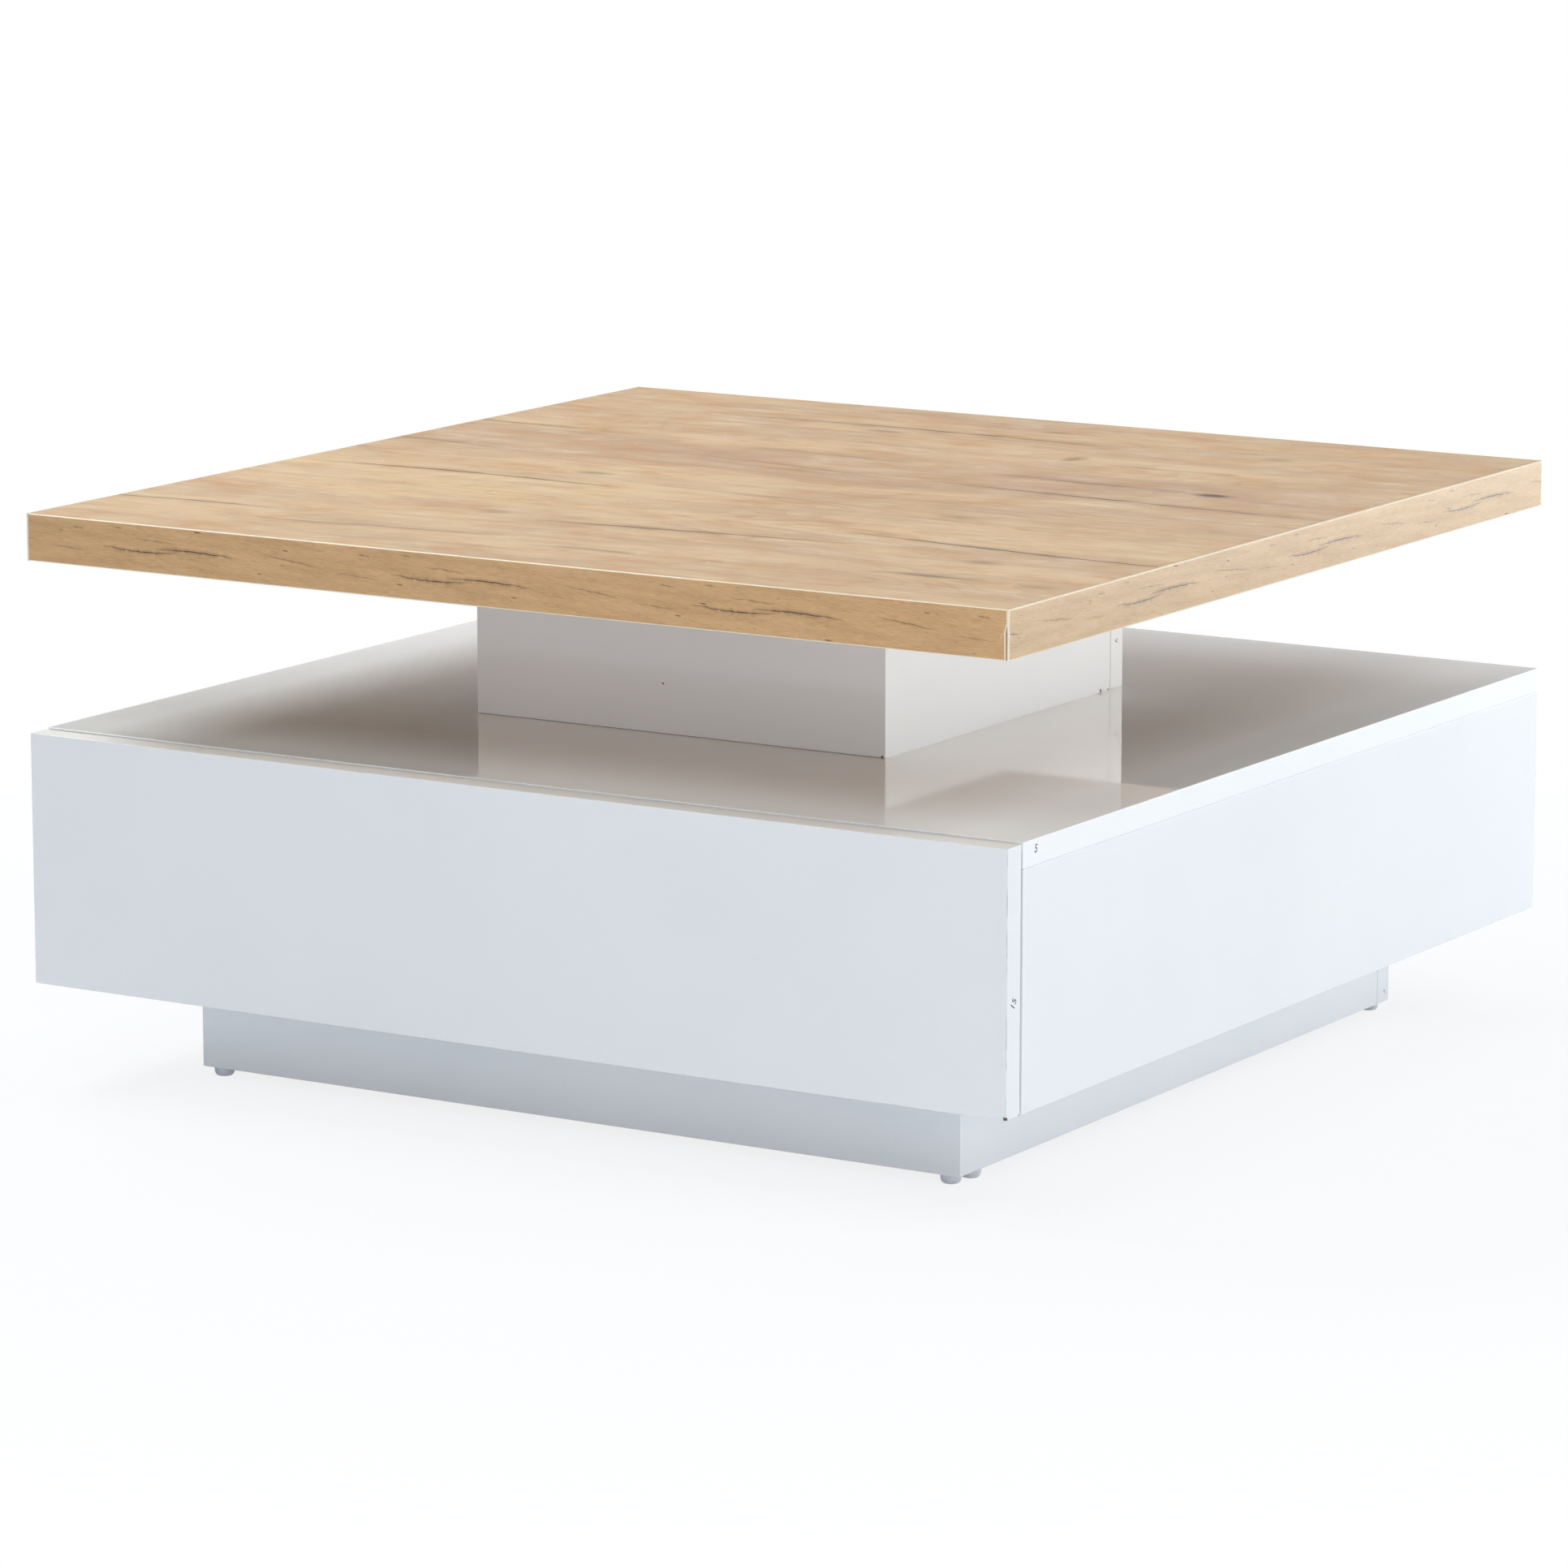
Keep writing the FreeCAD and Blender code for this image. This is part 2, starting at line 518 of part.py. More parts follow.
def pressed_plate():
    """The lower plate: a flat square with a raised round land, and the ball groove pressed back into it."""
    z_flat, z_over = Z_COLUMN_TOP, Z_COLUMN_TOP + PLATE_T
    z_land = Z_RACE - LAND_HALF_GAP
    z_under = z_land - PLATE_T
    r_hole = RACE_R - LAND_IN
    r_land = RACE_R + LAND_OUT
    r_flat = r_land + SLOPE_RUN
    groove = BALL_R + BALL_PLAY
    back = groove + PLATE_T
    half_mouth = math.sqrt(groove ** 2 - LAND_HALF_GAP ** 2)
    half_back = math.sqrt(back ** 2 - (LAND_HALF_GAP + PLATE_T) ** 2)
    mouth_in, mouth_out = V(RACE_R - half_mouth, 0, z_land), V(RACE_R + half_mouth, 0, z_land)
    back_in, back_out = V(RACE_R - half_back, 0, z_under), V(RACE_R + half_back, 0, z_under)
    hole_over, hole_under = V(r_hole, 0, z_land), V(r_hole, 0, z_under)
    outside = [
        V(r_land, 0, z_land), V(r_flat, 0, z_over), V(r_flat + PLATE_T, 0, z_over), V(r_flat + PLATE_T, 0, z_flat),
        V(r_flat - PLATE_T / 2, 0, z_flat), V(r_land - PLATE_T / 2, 0, z_under), back_out,
    ]
    race = revolve(chain(
        [(hole_over, mouth_in), (mouth_in, V(RACE_R, 0, Z_RACE - groove), mouth_out), (mouth_out, outside[0])]
        + list(zip(outside, outside[1:]))
        + [(back_out, V(RACE_R, 0, Z_RACE - back), back_in), (back_in, hole_under), (hole_under, hole_over)]
    ))
    half = PLATE_W / 2
    flat = box((-half, half), (-half, half), (z_flat, z_over))
    upright = [e for e in flat.Edges if abs(e.Vertexes[0].Z - e.Vertexes[1].Z) > PLATE_T / 2]
    flat = flat.makeFillet(PLATE_CORNER_R, upright)
    flat = flat.cut(cylinder(V(0, 0, z_flat), V(0, 0, 1), r_flat, PLATE_T))
    return one_solid(flat.fuse(race))


def make_balls_and_cage():
    """A flat cage with a round hole for each ball."""
    count = int(2 * math.pi * RACE_R / BALL_PITCH)
    inner, outer = RACE_R - CAGE_WIDTH / 2, RACE_R + CAGE_WIDTH / 2
    base = V(0, 0, Z_RACE - CAGE_T / 2)
    cage = cylinder(base, V(0, 0, 1), outer, CAGE_T).cut(cylinder(base, V(0, 0, 1), inner, CAGE_T))
    balls, pockets = [], []
    for i in range(count):
        angle = 2 * math.pi * i / count
        at = V(RACE_R * math.cos(angle), RACE_R * math.sin(angle), Z_RACE)
        balls.append(Part.makeSphere(BALL_R, at))
        pockets.append(cylinder(V(at.x, at.y, base.z), V(0, 0, 1), BALL_R + POCKET_PLAY, CAGE_T))
    add("turntable_cage", cage.cut(pockets))
    add("turntable_balls", group(balls))


def make_eyelet():
    """A rolled ring through both plates: one lip under the lower land, the other just over the upper one."""
    r_out = RACE_R - LAND_IN - EYELET_PLAY
    r_in = r_out - EYELET_T
    r_lip = RACE_R - LAND_IN + EYELET_LIP
    land_back = LAND_HALF_GAP + PLATE_T
    z0 = Z_RACE - land_back - EYELET_T
    z1 = Z_RACE - land_back
    z2 = Z_RACE + land_back + EYELET_PLAY
    z3 = z2 + EYELET_T
    corners = [(r_in, z0), (r_lip, z0), (r_lip, z1), (r_out, z1), (r_out, z2), (r_lip, z2), (r_lip, z3), (r_in, z3)]
    wire = Part.makePolygon([V(r, 0, z) for r, z in corners + corners[:1]])
    add("turntable_ring", revolve(wire))


# ---- Drawer --------------------------------------------------------------------------------------------------
def make_drawer():
    """A full-width front, and a box of two sides, a back and a thin bottom held in grooves."""
    front_z = (Z_BODY, Z_BODY + FRONT_H)
    add("drawer_front", board((-X_OUT, X_OUT), (Y_FRONT, Y_FRONT_REAR), front_z))
    for side, sx in SIDES:
        side_z = (Z_BOX, Z_BOX + BOX_H)
        add("drawer_" + side, box((sx * X_BOX_IN, sx * X_BOX), (Y_FRONT_REAR, Y_BOX_REAR), side_z))
    z_panel_top = Z_PANEL + PANEL_T + GROOVE_PLAY
    back_y = (Y_BOX_REAR - BOX_T, Y_BOX_REAR)
    add("drawer_back", box((-X_BOX_IN, X_BOX_IN), back_y, (z_panel_top, Z_BOX + BOX_H)))
    reach = GROOVE_DEPTH - GROOVE_PLAY
    x_panel = X_BOX_IN + reach
    add("drawer_bottom", box((-x_panel, x_panel), (Y_FRONT_REAR - reach, Y_BOX_REAR), (Z_PANEL, Z_PANEL + PANEL_T)))
    x_groove = X_BOX_IN + GROOVE_DEPTH
    groove_z = (Z_PANEL - GROOVE_PLAY, z_panel_top)
    groove = box((-x_groove, x_groove), (Y_FRONT_REAR - GROOVE_DEPTH, Y_BOX_REAR), groove_z)
    for name in ("drawer_front", "drawer_left", "drawer_right"):
        cut_from(name, [groove])
    z_low = Z_BOX + BOX_FITTING_LOW
    z_high = Z_BOX + BOX_H - BOX_FITTING_HIGH
    bolts, cams, dowels = [], [], []
    into_side = V(0, 1, 0)
    for side, sx in SIDES:
        inward = V(-sx, 0, 0)
        x_mid = sx * (X_BOX - BOX_T / 2)
        for z in (z_low, z_high):
            joint = V(x_mid, Y_FRONT_REAR, z)
            fit_cam(bolts, cams, joint, into_side, inward, BOX_T / 2, "drawer_front", "drawer_" + side)
            joint = V(sx * X_BOX_IN, Y_BOX_REAR - BOX_T / 2, z)
            fit_dowel(dowels, joint, inward, "drawer_" + side, "drawer_back")
        joint = V(x_mid, Y_FRONT_REAR, (z_low + z_high) / 2)
        fit_dowel(dowels, joint, into_side, "drawer_front", "drawer_" + side)
    add("drawer_cam_bolts", group(bolts))
    add("drawer_cam_locks", group(cams))
    add("drawer_dowels", group(dowels))
    make_buffers()


def make_buffers():
    """Soft round pads on the back of the drawer front, opposite the front edges of the side boards."""
    pads = []
    for _, sx in SIDES:
        for z in (Z_BODY + BUFFER_INSET, Z_SIDE_TOP - BUFFER_INSET):
            at = V(sx * (X_OUT - BOARD / 2), Y_FRONT_REAR, z)
            pads.append(cylinder(at, V(0, 1, 0), BUFFER_R, FRONT_GAP - BUFFER_PLAY))
    add("drawer_buffers", group(pads))


# ---- Roller runners, drawn for the right side and mirrored for the left ----------------------------------------
def cabinet_rail():
    """A channel against the side board: track below, guard above, and a bump that stops the drawer's roller."""
    y = (Y_RAIL, Y_RAIL + RUNNER_L)
    web = box((X_IN - RAIL_T, X_IN), y, (Z_RAIL, Z_RAIL + RAIL_H))
    track = box((X_IN - TRACK_W, X_IN), y, (Z_RAIL, Z_TRACK))
    guard_y = (Y_RAIL + GUARD_CUT, Y_RAIL + RUNNER_L)
    guard = box((X_IN - GUARD_W, X_IN), guard_y, (Z_RAIL + RAIL_H - RAIL_T, Z_RAIL + RAIL_H))
    above_stop = ROLLER_R + ROLLER_GAP - STOP_H
    reach = math.sqrt(ROLLER_R ** 2 - above_stop ** 2) + ROLLER_GAP
    y_stop = Y_DRAWER_ROLLER - DRAWER_TRAVEL - reach
    stop = box((X_IN - TRACK_W, X_IN), (y_stop - STOP_L, y_stop), (Z_RAIL, Z_TRACK + STOP_H))
    crest = [e for e in stop.Edges if all(abs(v.Z - Z_TRACK - STOP_H) < 1e-6 for v in e.Vertexes)]
    crest = [e for e in crest if abs(e.Vertexes[0].X - e.Vertexes[1].X) > 1]
    stop = stop.makeFillet(STOP_CREST_R, crest)
    return one_solid(web.fuse([track, guard, stop]))


def drawer_rail():
    """A Z section: one flange under the drawer side, a web outside it, and the running flange turned out."""
    y = (Y_FRONT_REAR, Y_FRONT_REAR + RUNNER_L)
    z_under = Z_BOX - RAIL_T
    web = box((X_BOX, X_BOX + RAIL_T), y, (z_under, Z_RUN_FLANGE + RAIL_T))
    under = box((X_BOX - UNDER_FLANGE, X_BOX), y, (z_under, Z_BOX))
    run = box((X_BOX, X_BOX + RUN_FLANGE), y, (Z_RUN_FLANGE, Z_RUN_FLANGE + RAIL_T))
    return one_solid(web.fuse([under, run]))


def roller_and_rivet(web_x, toward, y, z):
    """A roller on its rivet. The rivet stands out of the rail's web at web_x, towards +X or -X."""
    out = V(toward, 0, 0)
    space = RUNNER_SPACE - 2 * RAIL_T
    head_from = RAIL_T + space - RIVET_HEAD_GAP - RIVET_HEAD_T
    root = V(web_x, y, z)
    shank = cylinder(root, out, ROLLER_BORE_R, head_from)
    head = cylinder(root + out * head_from, out, RIVET_HEAD_R, RIVET_HEAD_T)
    middle = RAIL_T + (head_from - RAIL_T) / 2
    rim = cylinder(root + out * (middle - ROLLER_W / 2), out, ROLLER_R, ROLLER_W)
    rim = rim.makeFillet(ROLLER_EDGE_R, [e for e in rim.Edges if len(e.Vertexes) == 1])
    bore = cylinder(root, out, ROLLER_BORE_R + ROLLER_PLAY, RUNNER_SPACE)
    dish_r = (ROLLER_R + ROLLER_BORE_R) / 2
    dishes = []
    for end in (-1, 1):
        face = root + out * (middle + end * ROLLER_W / 2)
        ring = cylinder(face, out * -end, dish_r + DISH_W / 2, DISH_DEPTH)
        dishes.append(ring.cut(cylinder(face, out * -end, dish_r - DISH_W / 2, DISH_DEPTH)))
    return rim.cut([bore] + dishes), shank.fuse(head).removeSplitter()


def make_runners():
    """Both rails, the rollers with their rivets, and the screws, on each side."""
    cabinet = cabinet_rail()
    drawer = drawer_rail()
    cabinet_roller, cabinet_rivet = roller_and_rivet(X_IN, -1, Y_CABINET_ROLLER, Z_CABINET_ROLLER)
    drawer_roller, drawer_rivet = roller_and_rivet(X_BOX, 1, Y_DRAWER_ROLLER, Z_DRAWER_ROLLER)
    rivet_r = ROLLER_BORE_R + BORE_PLAY
    cabinet = cabinet.cut(cylinder(V(X_IN, Y_CABINET_ROLLER, Z_CABINET_ROLLER), V(-1, 0, 0), rivet_r, RAIL_T))
    drawer = drawer.cut(cylinder(V(X_BOX, Y_DRAWER_ROLLER, Z_DRAWER_ROLLER), V(1, 0, 0), rivet_r, RAIL_T))
    side_screws, side_bores = [], []
    box_screws, box_bores = [], []
    z_screw = (Z_DRAWER_ROLLER + ROLLER_R + Z_RUN_FLANGE) / 2
    for y in (RAIL_SCREW_FRONT, RUNNER_L - RAIL_SCREW_REAR):
        seat = V(X_IN - RAIL_T, Y_RAIL + y, z_screw)
        side_screws.append(rail_screw(seat, V(1, 0, 0)))
        side_bores.append(screw_bore(seat, V(1, 0, 0), RAIL_SCREW_L, RAIL_SCREW_R))
        seat = V(X_BOX - BOX_T / 2, Y_FRONT_REAR + y, Z_BOX - RAIL_T)
        box_screws.append(rail_screw(seat, V(0, 0, 1)))
        box_bores.append(screw_bore(seat, V(0, 0, 1), RAIL_SCREW_L, RAIL_SCREW_R))
    cabinet = cabinet.cut(side_bores)
    drawer = drawer.cut(box_bores)
    for side, sx in SIDES:
        def place(shape):
            return shape if sx > 0 else mirrored_x(shape)
        add("cabinet_rail_" + side, place(cabinet))
        add("drawer_rail_" + side, place(drawer))
        add("cabinet_roller_" + side, place(cabinet_roller))
        add("drawer_roller_" + side, place(drawer_roller))
        cut_from("body_" + side, [place(bore) for bore in side_bores])
        cut_from("drawer_" + side, [place(bore) for bore in box_bores])
    both = (("cabinet_rivets", [cabinet_rivet]), ("drawer_rivets", [drawer_rivet]),
            ("cabinet_rail_screws", side_screws), ("drawer_rail_screws", box_screws))
    for name, solids in both:
        add(name, group(solids + [mirrored_x(solid) for solid in solids]))


def rail_screw(seat, direction):
    return screw(seat, direction, RAIL_SCREW_L, RAIL_SCREW_R, RAIL_SCREW_HEAD_R, RAIL_SCREW_HEAD_H)


# ---- The whole table -----------------------------------------------------------------------------------------
make_body()
make_column()
make_plinth()
make_glides()
make_top()
make_turntable()
make_drawer()
make_runners()

os.makedirs("parts", exist_ok=True)
for name, shape in nodes.items():
    shape.exportStep("parts/" + name + ".step")
print(len(nodes), "nodes,", sum(len(shape.Solids) for shape in nodes.values()), "solids")
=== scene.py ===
# %% [markdown]
# # A swivel coffee table
# Two square tiers: an oak-decor top turns on a ball-bearing plate, above a short column on a white gloss
# body with one wide drawer. The construction model gives every part its place and size. This lesson dresses
# it: new meshes for what the eye rests on, and a node material for everything.

# %% Load the construction model
import json
import math

import bmesh
import bpy
from mathutils import Matrix, Vector


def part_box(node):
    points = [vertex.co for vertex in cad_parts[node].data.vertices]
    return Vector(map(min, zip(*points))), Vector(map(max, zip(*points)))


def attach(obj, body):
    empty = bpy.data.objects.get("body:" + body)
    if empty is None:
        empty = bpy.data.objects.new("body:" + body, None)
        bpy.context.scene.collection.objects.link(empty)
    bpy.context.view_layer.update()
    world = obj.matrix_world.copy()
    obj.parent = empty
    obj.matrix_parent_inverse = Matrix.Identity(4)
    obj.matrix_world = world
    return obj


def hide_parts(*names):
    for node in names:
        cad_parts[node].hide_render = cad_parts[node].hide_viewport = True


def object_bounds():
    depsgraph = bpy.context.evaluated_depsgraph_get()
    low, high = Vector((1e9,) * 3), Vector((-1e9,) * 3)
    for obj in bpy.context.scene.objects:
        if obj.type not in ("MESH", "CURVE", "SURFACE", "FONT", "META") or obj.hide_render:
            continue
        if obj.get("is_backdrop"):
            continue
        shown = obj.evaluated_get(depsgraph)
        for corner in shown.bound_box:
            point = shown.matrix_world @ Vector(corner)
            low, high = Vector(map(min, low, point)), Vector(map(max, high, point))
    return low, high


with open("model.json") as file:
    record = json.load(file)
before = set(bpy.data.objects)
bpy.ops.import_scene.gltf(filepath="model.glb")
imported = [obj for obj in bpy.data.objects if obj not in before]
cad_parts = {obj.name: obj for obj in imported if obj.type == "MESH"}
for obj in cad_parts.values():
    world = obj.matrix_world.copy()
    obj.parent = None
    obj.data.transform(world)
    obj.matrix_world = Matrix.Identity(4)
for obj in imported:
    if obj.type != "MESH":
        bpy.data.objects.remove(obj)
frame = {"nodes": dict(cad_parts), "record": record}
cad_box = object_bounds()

MM = 0.001
print("box:", [tuple(round(c, 4) for c in corner) for corner in cad_box])

# %% [markdown]
# ## The camera
# The camera stands far off to the front right, a little above, with a long lens. A long lens keeps the
# upright edges upright and the far corner nearly as large as the near one, so the focal length matters as
# much as the place. The angles are turned into Blender's: the camera looks down its own -Z, so 90 degrees
# lifts it level.

# %% Camera
CAMERA_AT = Vector((2.56418, -4.20114, 1.13634))
CAMERA_TURN = 0.5509          # radians to the left of straight back
CAMERA_DIP = 0.1894           # radians below level
CAMERA_LENS = 157.25          # millimetres, on a sensor as wide as film
FILM_WIDTH = 36.0

lens = bpy.data.cameras.new("camera")
lens.lens = CAMERA_LENS
lens.sensor_width = FILM_WIDTH
lens.clip_end = 100.0
camera = bpy.data.objects.new("camera", lens)
camera.location = CAMERA_AT
camera.rotation_euler = (math.pi / 2 - CAMERA_DIP, 0.0, CAMERA_TURN)
bpy.context.scene.collection.objects.link(camera)
bpy.context.scene.camera = camera
bpy.context.scene.view_settings.view_transform = "Standard"
print("camera:", round(CAMERA_AT.length, 2), "m away,", round(math.degrees(lens.angle), 1), "degrees wide")

# %% [markdown]
# ## Tools for materials
# Colours are picked on screen as sRGB hex values, and Blender mixes light in linear values, so one function
# translates. Another adds a node, sets it and links it in one call, so that a material reads from top to
# bottom like a recipe. A link is written as the node it comes from, and an input goes by its name or number:
# a Map Range takes the two ends of its source as 1 and 2 and those of its result as 3 and 4, and a colour
# Mix takes its factor as 0 and its two colours as 6 and 7, and gives the mixed colour at output 2.
#
# Patterns are worked out in real millimetres. A noise of scale 1 has features one unit long, so a Mapping
# node that divides millimetres by a feature's real length makes it that long.

# %% Colour and node helpers
MIXED = 2                     # the output of a Mix node that carries its colour


def paint(hex_value):
    """A linear RGBA colour from an sRGB hex string such as "D8AC74"."""
    channels = [int(hex_value[i:i + 2], 16) / 255 for i in (0, 2, 4)]
    linear = [c / 12.92 if c <= 0.04045 else ((c + 0.055) / 1.055) ** 2.4 for c in channels]
    return (*linear, 1.0)


def per(*lengths):
    """What a Mapping scales millimetres by, for features of these lengths along X, Y and Z."""
    return tuple(1 / length for length in lengths)


def add(tree, kind, inputs=None, **settings):
    """Adds a shader node, with its settings as keywords and its inputs by name or number."""
    node = tree.nodes.new("ShaderNode" + kind)
    for name, value in settings.items():
        setattr(node, name, value)
    for key, value in (inputs or {}).items():
        socket = node.inputs[key]
        if isinstance(value, bpy.types.Node):
            tree.links.new(value.outputs[0], socket)
        elif isinstance(value, bpy.types.NodeSocket):
            tree.links.new(value, socket)
        else:
            socket.default_value = value
    return node


print("mid grey in linear light:", round(paint("808080")[0], 3))

# %% [markdown]
# Every material here starts in the same way: one Principled shader and the object's own coordinates, in
# millimetres. Moulded, coated and bare parts need little more than two close tones and a fine surface, so
# one function makes them all.

# %% Material helpers
RELIEF = 0.2 * MM             # how high a bump of full strength stands


def new_material(name, **surface):
    """A bare Principled material; returns it, its tree, its shader and the point in millimetres."""
    material = bpy.data.materials.new(name)
    material.use_nodes = True
    tree = material.node_tree
    tree.nodes.clear()
    shader = add(tree, "BsdfPrincipled", surface)
    add(tree, "OutputMaterial", {"Surface": shader})
    coords = add(tree, "TexCoord")
    point = add(tree, "Mapping", {"Vector": coords.outputs["Object"], "Scale": per(MM, MM, MM)})
    print("material:", name)
    return material, tree, shader, point


def plain(name, colour, second, rough, grain=3.0, bump_strength=0.05):
    """A moulded, coated or bare finish: two close tones and a fine surface, its grain in millimetres."""
    material, tree, shader, point = new_material(name, Roughness=rough)
    grains = add(tree, "Mapping", {"Vector": point, "Scale": per(grain, grain, grain)})
    cloud = add(tree, "TexNoise", {"Vector": grains, "Scale": 1.0, "Detail": 3.0})
    tone = add(tree, "MapRange", {"Value": cloud, 1: 0.35, 2: 0.65}, clamp=True)
    mixed = add(tree, "Mix", {0: tone, 6: paint(second), 7: paint(colour)}, data_type="RGBA")
    tree.links.new(mixed.outputs[MIXED], shader.inputs["Base Color"])
    bump = add(tree, "Bump", {"Height": cloud, "Strength": bump_strength, "Distance": RELIEF})
    tree.links.new(bump.outputs[0], shader.inputs["Normal"])
    return material


# %% [markdown]
# ## Tools for new pieces
# Each new mesh is built with bmesh operators where it stands, so its object stays at the origin, as the
# construction parts do. A weighted-normal modifier keeps the large faces of a bevelled board dead flat in
# shading while its rounded arrises stay smooth. That matters on high gloss, where a bent normal shows.

# %% Piece helpers
SNAP = 1e-6                   # metres: a point nearer than this to a plane lies on it
MERGE = 1e-7                  # metres: points nearer than this to each other are one


def new_piece(name, bm, material, body, replaced=(), sharp=40.0):
    """Turns a bmesh into a piece that rides on a body and stands for construction nodes."""
    bmesh.ops.remove_doubles(bm, verts=bm.verts, dist=MERGE)
    bmesh.ops.recalc_face_normals(bm, faces=bm.faces)
    spans = [max(v.co[i] for v in bm.verts) - min(v.co[i] for v in bm.verts) for i in range(3)]
    mesh = bpy.data.meshes.new(name)
    bm.to_mesh(mesh)
    bm.free()
    mesh.shade_smooth()
    mesh.set_sharp_from_angle(angle=math.radians(sharp))
    for each in material if isinstance(material, tuple) else (material,):
        mesh.materials.append(each)
    piece = bpy.data.objects.new(name, mesh)
    bpy.context.scene.collection.objects.link(piece)
    flat_faces = piece.modifiers.new("flat_faces", "WEIGHTED_NORMAL")
    flat_faces.keep_sharp = True
    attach(piece, body)
    if replaced:
        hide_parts(*replaced)
    print("piece:", name, [round(span / MM, 1) for span in spans], "mm,", len(mesh.polygons), "faces")
    return piece


def block(low, high):
    """A plain box between two corners, the blank that every board is cut from."""
    bm = bmesh.new()
    bmesh.ops.create_cube(bm, size=1.0)
    bmesh.ops.scale(bm, vec=high - low, verts=bm.verts)
    bmesh.ops.translate(bm, vec=(high + low) / 2, verts=bm.verts)
    return bm


def soften(bm, edges, radius, segments=3):
    """Rounds the given edges."""
    bmesh.ops.bevel(
        bm, geom=edges, offset=radius, offset_type="OFFSET", segments=segments, profile=0.5,
        affect="EDGES", material=-1, clamp_overlap=True,
    )


# %% [markdown]
# ## Studio
# A pale paper floor runs out of sight. The camera sees it as near white, so the backdrop stays clean without
# more light on the table. Gloss and glass see the floor in the same way. Near the table the floor keeps a
# soft share of its shadow, and away from it the paper turns plain white, as a sweep does.

# %% Floor
GLOW_NEAR, GLOW_FAR = 0.83, 1.0   # share of plain white in what the camera sees of the floor
GLOW_FROM, GLOW_TO = 0.6, 1.3     # metres from the middle of the table between those two
FLOOR_HALF = 30.0                 # metres

floor_bm = bmesh.new()
bmesh.ops.create_grid(floor_bm, x_segments=1, y_segments=1, size=FLOOR_HALF)
floor_mesh = bpy.data.meshes.new("floor")
floor_bm.to_mesh(floor_mesh)
floor_bm.free()
floor = bpy.data.objects.new("floor", floor_mesh)
bpy.context.scene.collection.objects.link(floor)
floor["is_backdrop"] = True
print("floor:", 2 * FLOOR_HALF, "m square, plain white beyond", GLOW_TO, "m")

# %% Backdrop paper
backdrop = bpy.data.materials.new("backdrop_paper")
backdrop.use_nodes = True
tree = backdrop.node_tree
tree.nodes.clear()
paper = add(tree, "BsdfPrincipled", {"Base Color": paint("EAF4FF"), "Roughness": 0.9})
glow = add(tree, "Emission", {"Color": (1, 1, 1, 1), "Strength": 1.0})
rays = add(tree, "LightPath").outputs
seen = add(tree, "Math", {0: rays["Is Camera Ray"], 1: rays["Is Glossy Ray"]}, operation="MAXIMUM")
seen = add(tree, "Math", {0: seen, 1: rays["Is Transmission Ray"]}, operation="MAXIMUM")
away = add(tree, "VectorMath", {0: add(tree, "TexCoord").outputs["Object"]}, operation="LENGTH")
ends = {1: GLOW_FROM, 2: GLOW_TO, 3: GLOW_NEAR, 4: GLOW_FAR}
fade = add(tree, "MapRange", {"Value": away.outputs["Value"], **ends})
share = add(tree, "Math", {0: seen, 1: fade}, operation="MULTIPLY")
surface = add(tree, "MixShader", {0: share, 1: paper, 2: glow})
add(tree, "OutputMaterial", {"Surface": surface})
floor_mesh.materials.append(backdrop)
print("backdrop:", len(tree.nodes), "nodes")

# %% [markdown]
# The camera sees the world as white too. For every other ray the world is a room: pale along the floor, dark
# from ten degrees up, with a dim ring of ceiling half way to the zenith. The step at ten degrees is what a
# low camera meets in a gloss board. The far end of the body's top mirrors the pale band and shines, and the
# near end mirrors the dark above it, so the shade under the top keeps its depth.

# %% Room
# each stop: height on a sphere, 0 at the floor and 1 overhead, and its linear colour
ROOM = (
    (0.07, (1.2, 1.15, 1.15)), (0.165, (0.84, 0.84, 0.86)), (0.179, (0.08, 0.08, 0.08)),
    (0.2, (0.0, 0.0, 0.0)), (0.41, (0.0, 0.0, 0.0)),
    (0.59, (0.25, 0.25, 0.25)), (0.77, (0.25, 0.25, 0.25)), (0.91, (0.0, 0.0, 0.0)),
)
world = bpy.data.worlds.new("studio")
bpy.context.scene.world = world
world.use_nodes = True
tree = world.node_tree
tree.nodes.clear()
height = add(tree, "SeparateXYZ", {0: add(tree, "TexCoord").outputs["Generated"]})
ramp = add(tree, "ValToRGB", {0: height.outputs[2]})
stops = ramp.color_ramp.elements
for stop, (place, colour) in zip(stops, (ROOM[0], ROOM[-1])):
    stop.position = place
    stop.color = (*colour, 1)
for place, colour in ROOM[1:-1]:
    stops.new(place).color = (*colour, 1)
room = add(tree, "Background", {"Color": ramp, "Strength": 1.0})
white = add(tree, "Background", {"Color": (1, 1, 1, 1), "Strength": 1.0})
rays = add(tree, "LightPath").outputs
picked = add(tree, "MixShader", {0: rays["Is Camera Ray"], 1: room, 2: white})
add(tree, "OutputWorld", {"Surface": picked})
print("room stops:", [round(math.degrees(math.asin(place)), 1) for place, _ in ROOM], "degrees up")

# %% [markdown]
# Six soft lamps stand on a circle round the table. Four hang high, one at each side. They light the oak, and
# reach in under it only as far as the body's rim, so the body's top is pale along its edges and shaded
# towards the column. Two low ones on the right light the upright faces and shine into that gap.

# %% Lamps
LAMP_DISTANCE = 2.6
LAMP_AIM = Vector((0.0, 0.0, 0.25))
HIGH_SIZE = (1.5, 1.1)
LOW_SIZE = (1.9, 0.75)
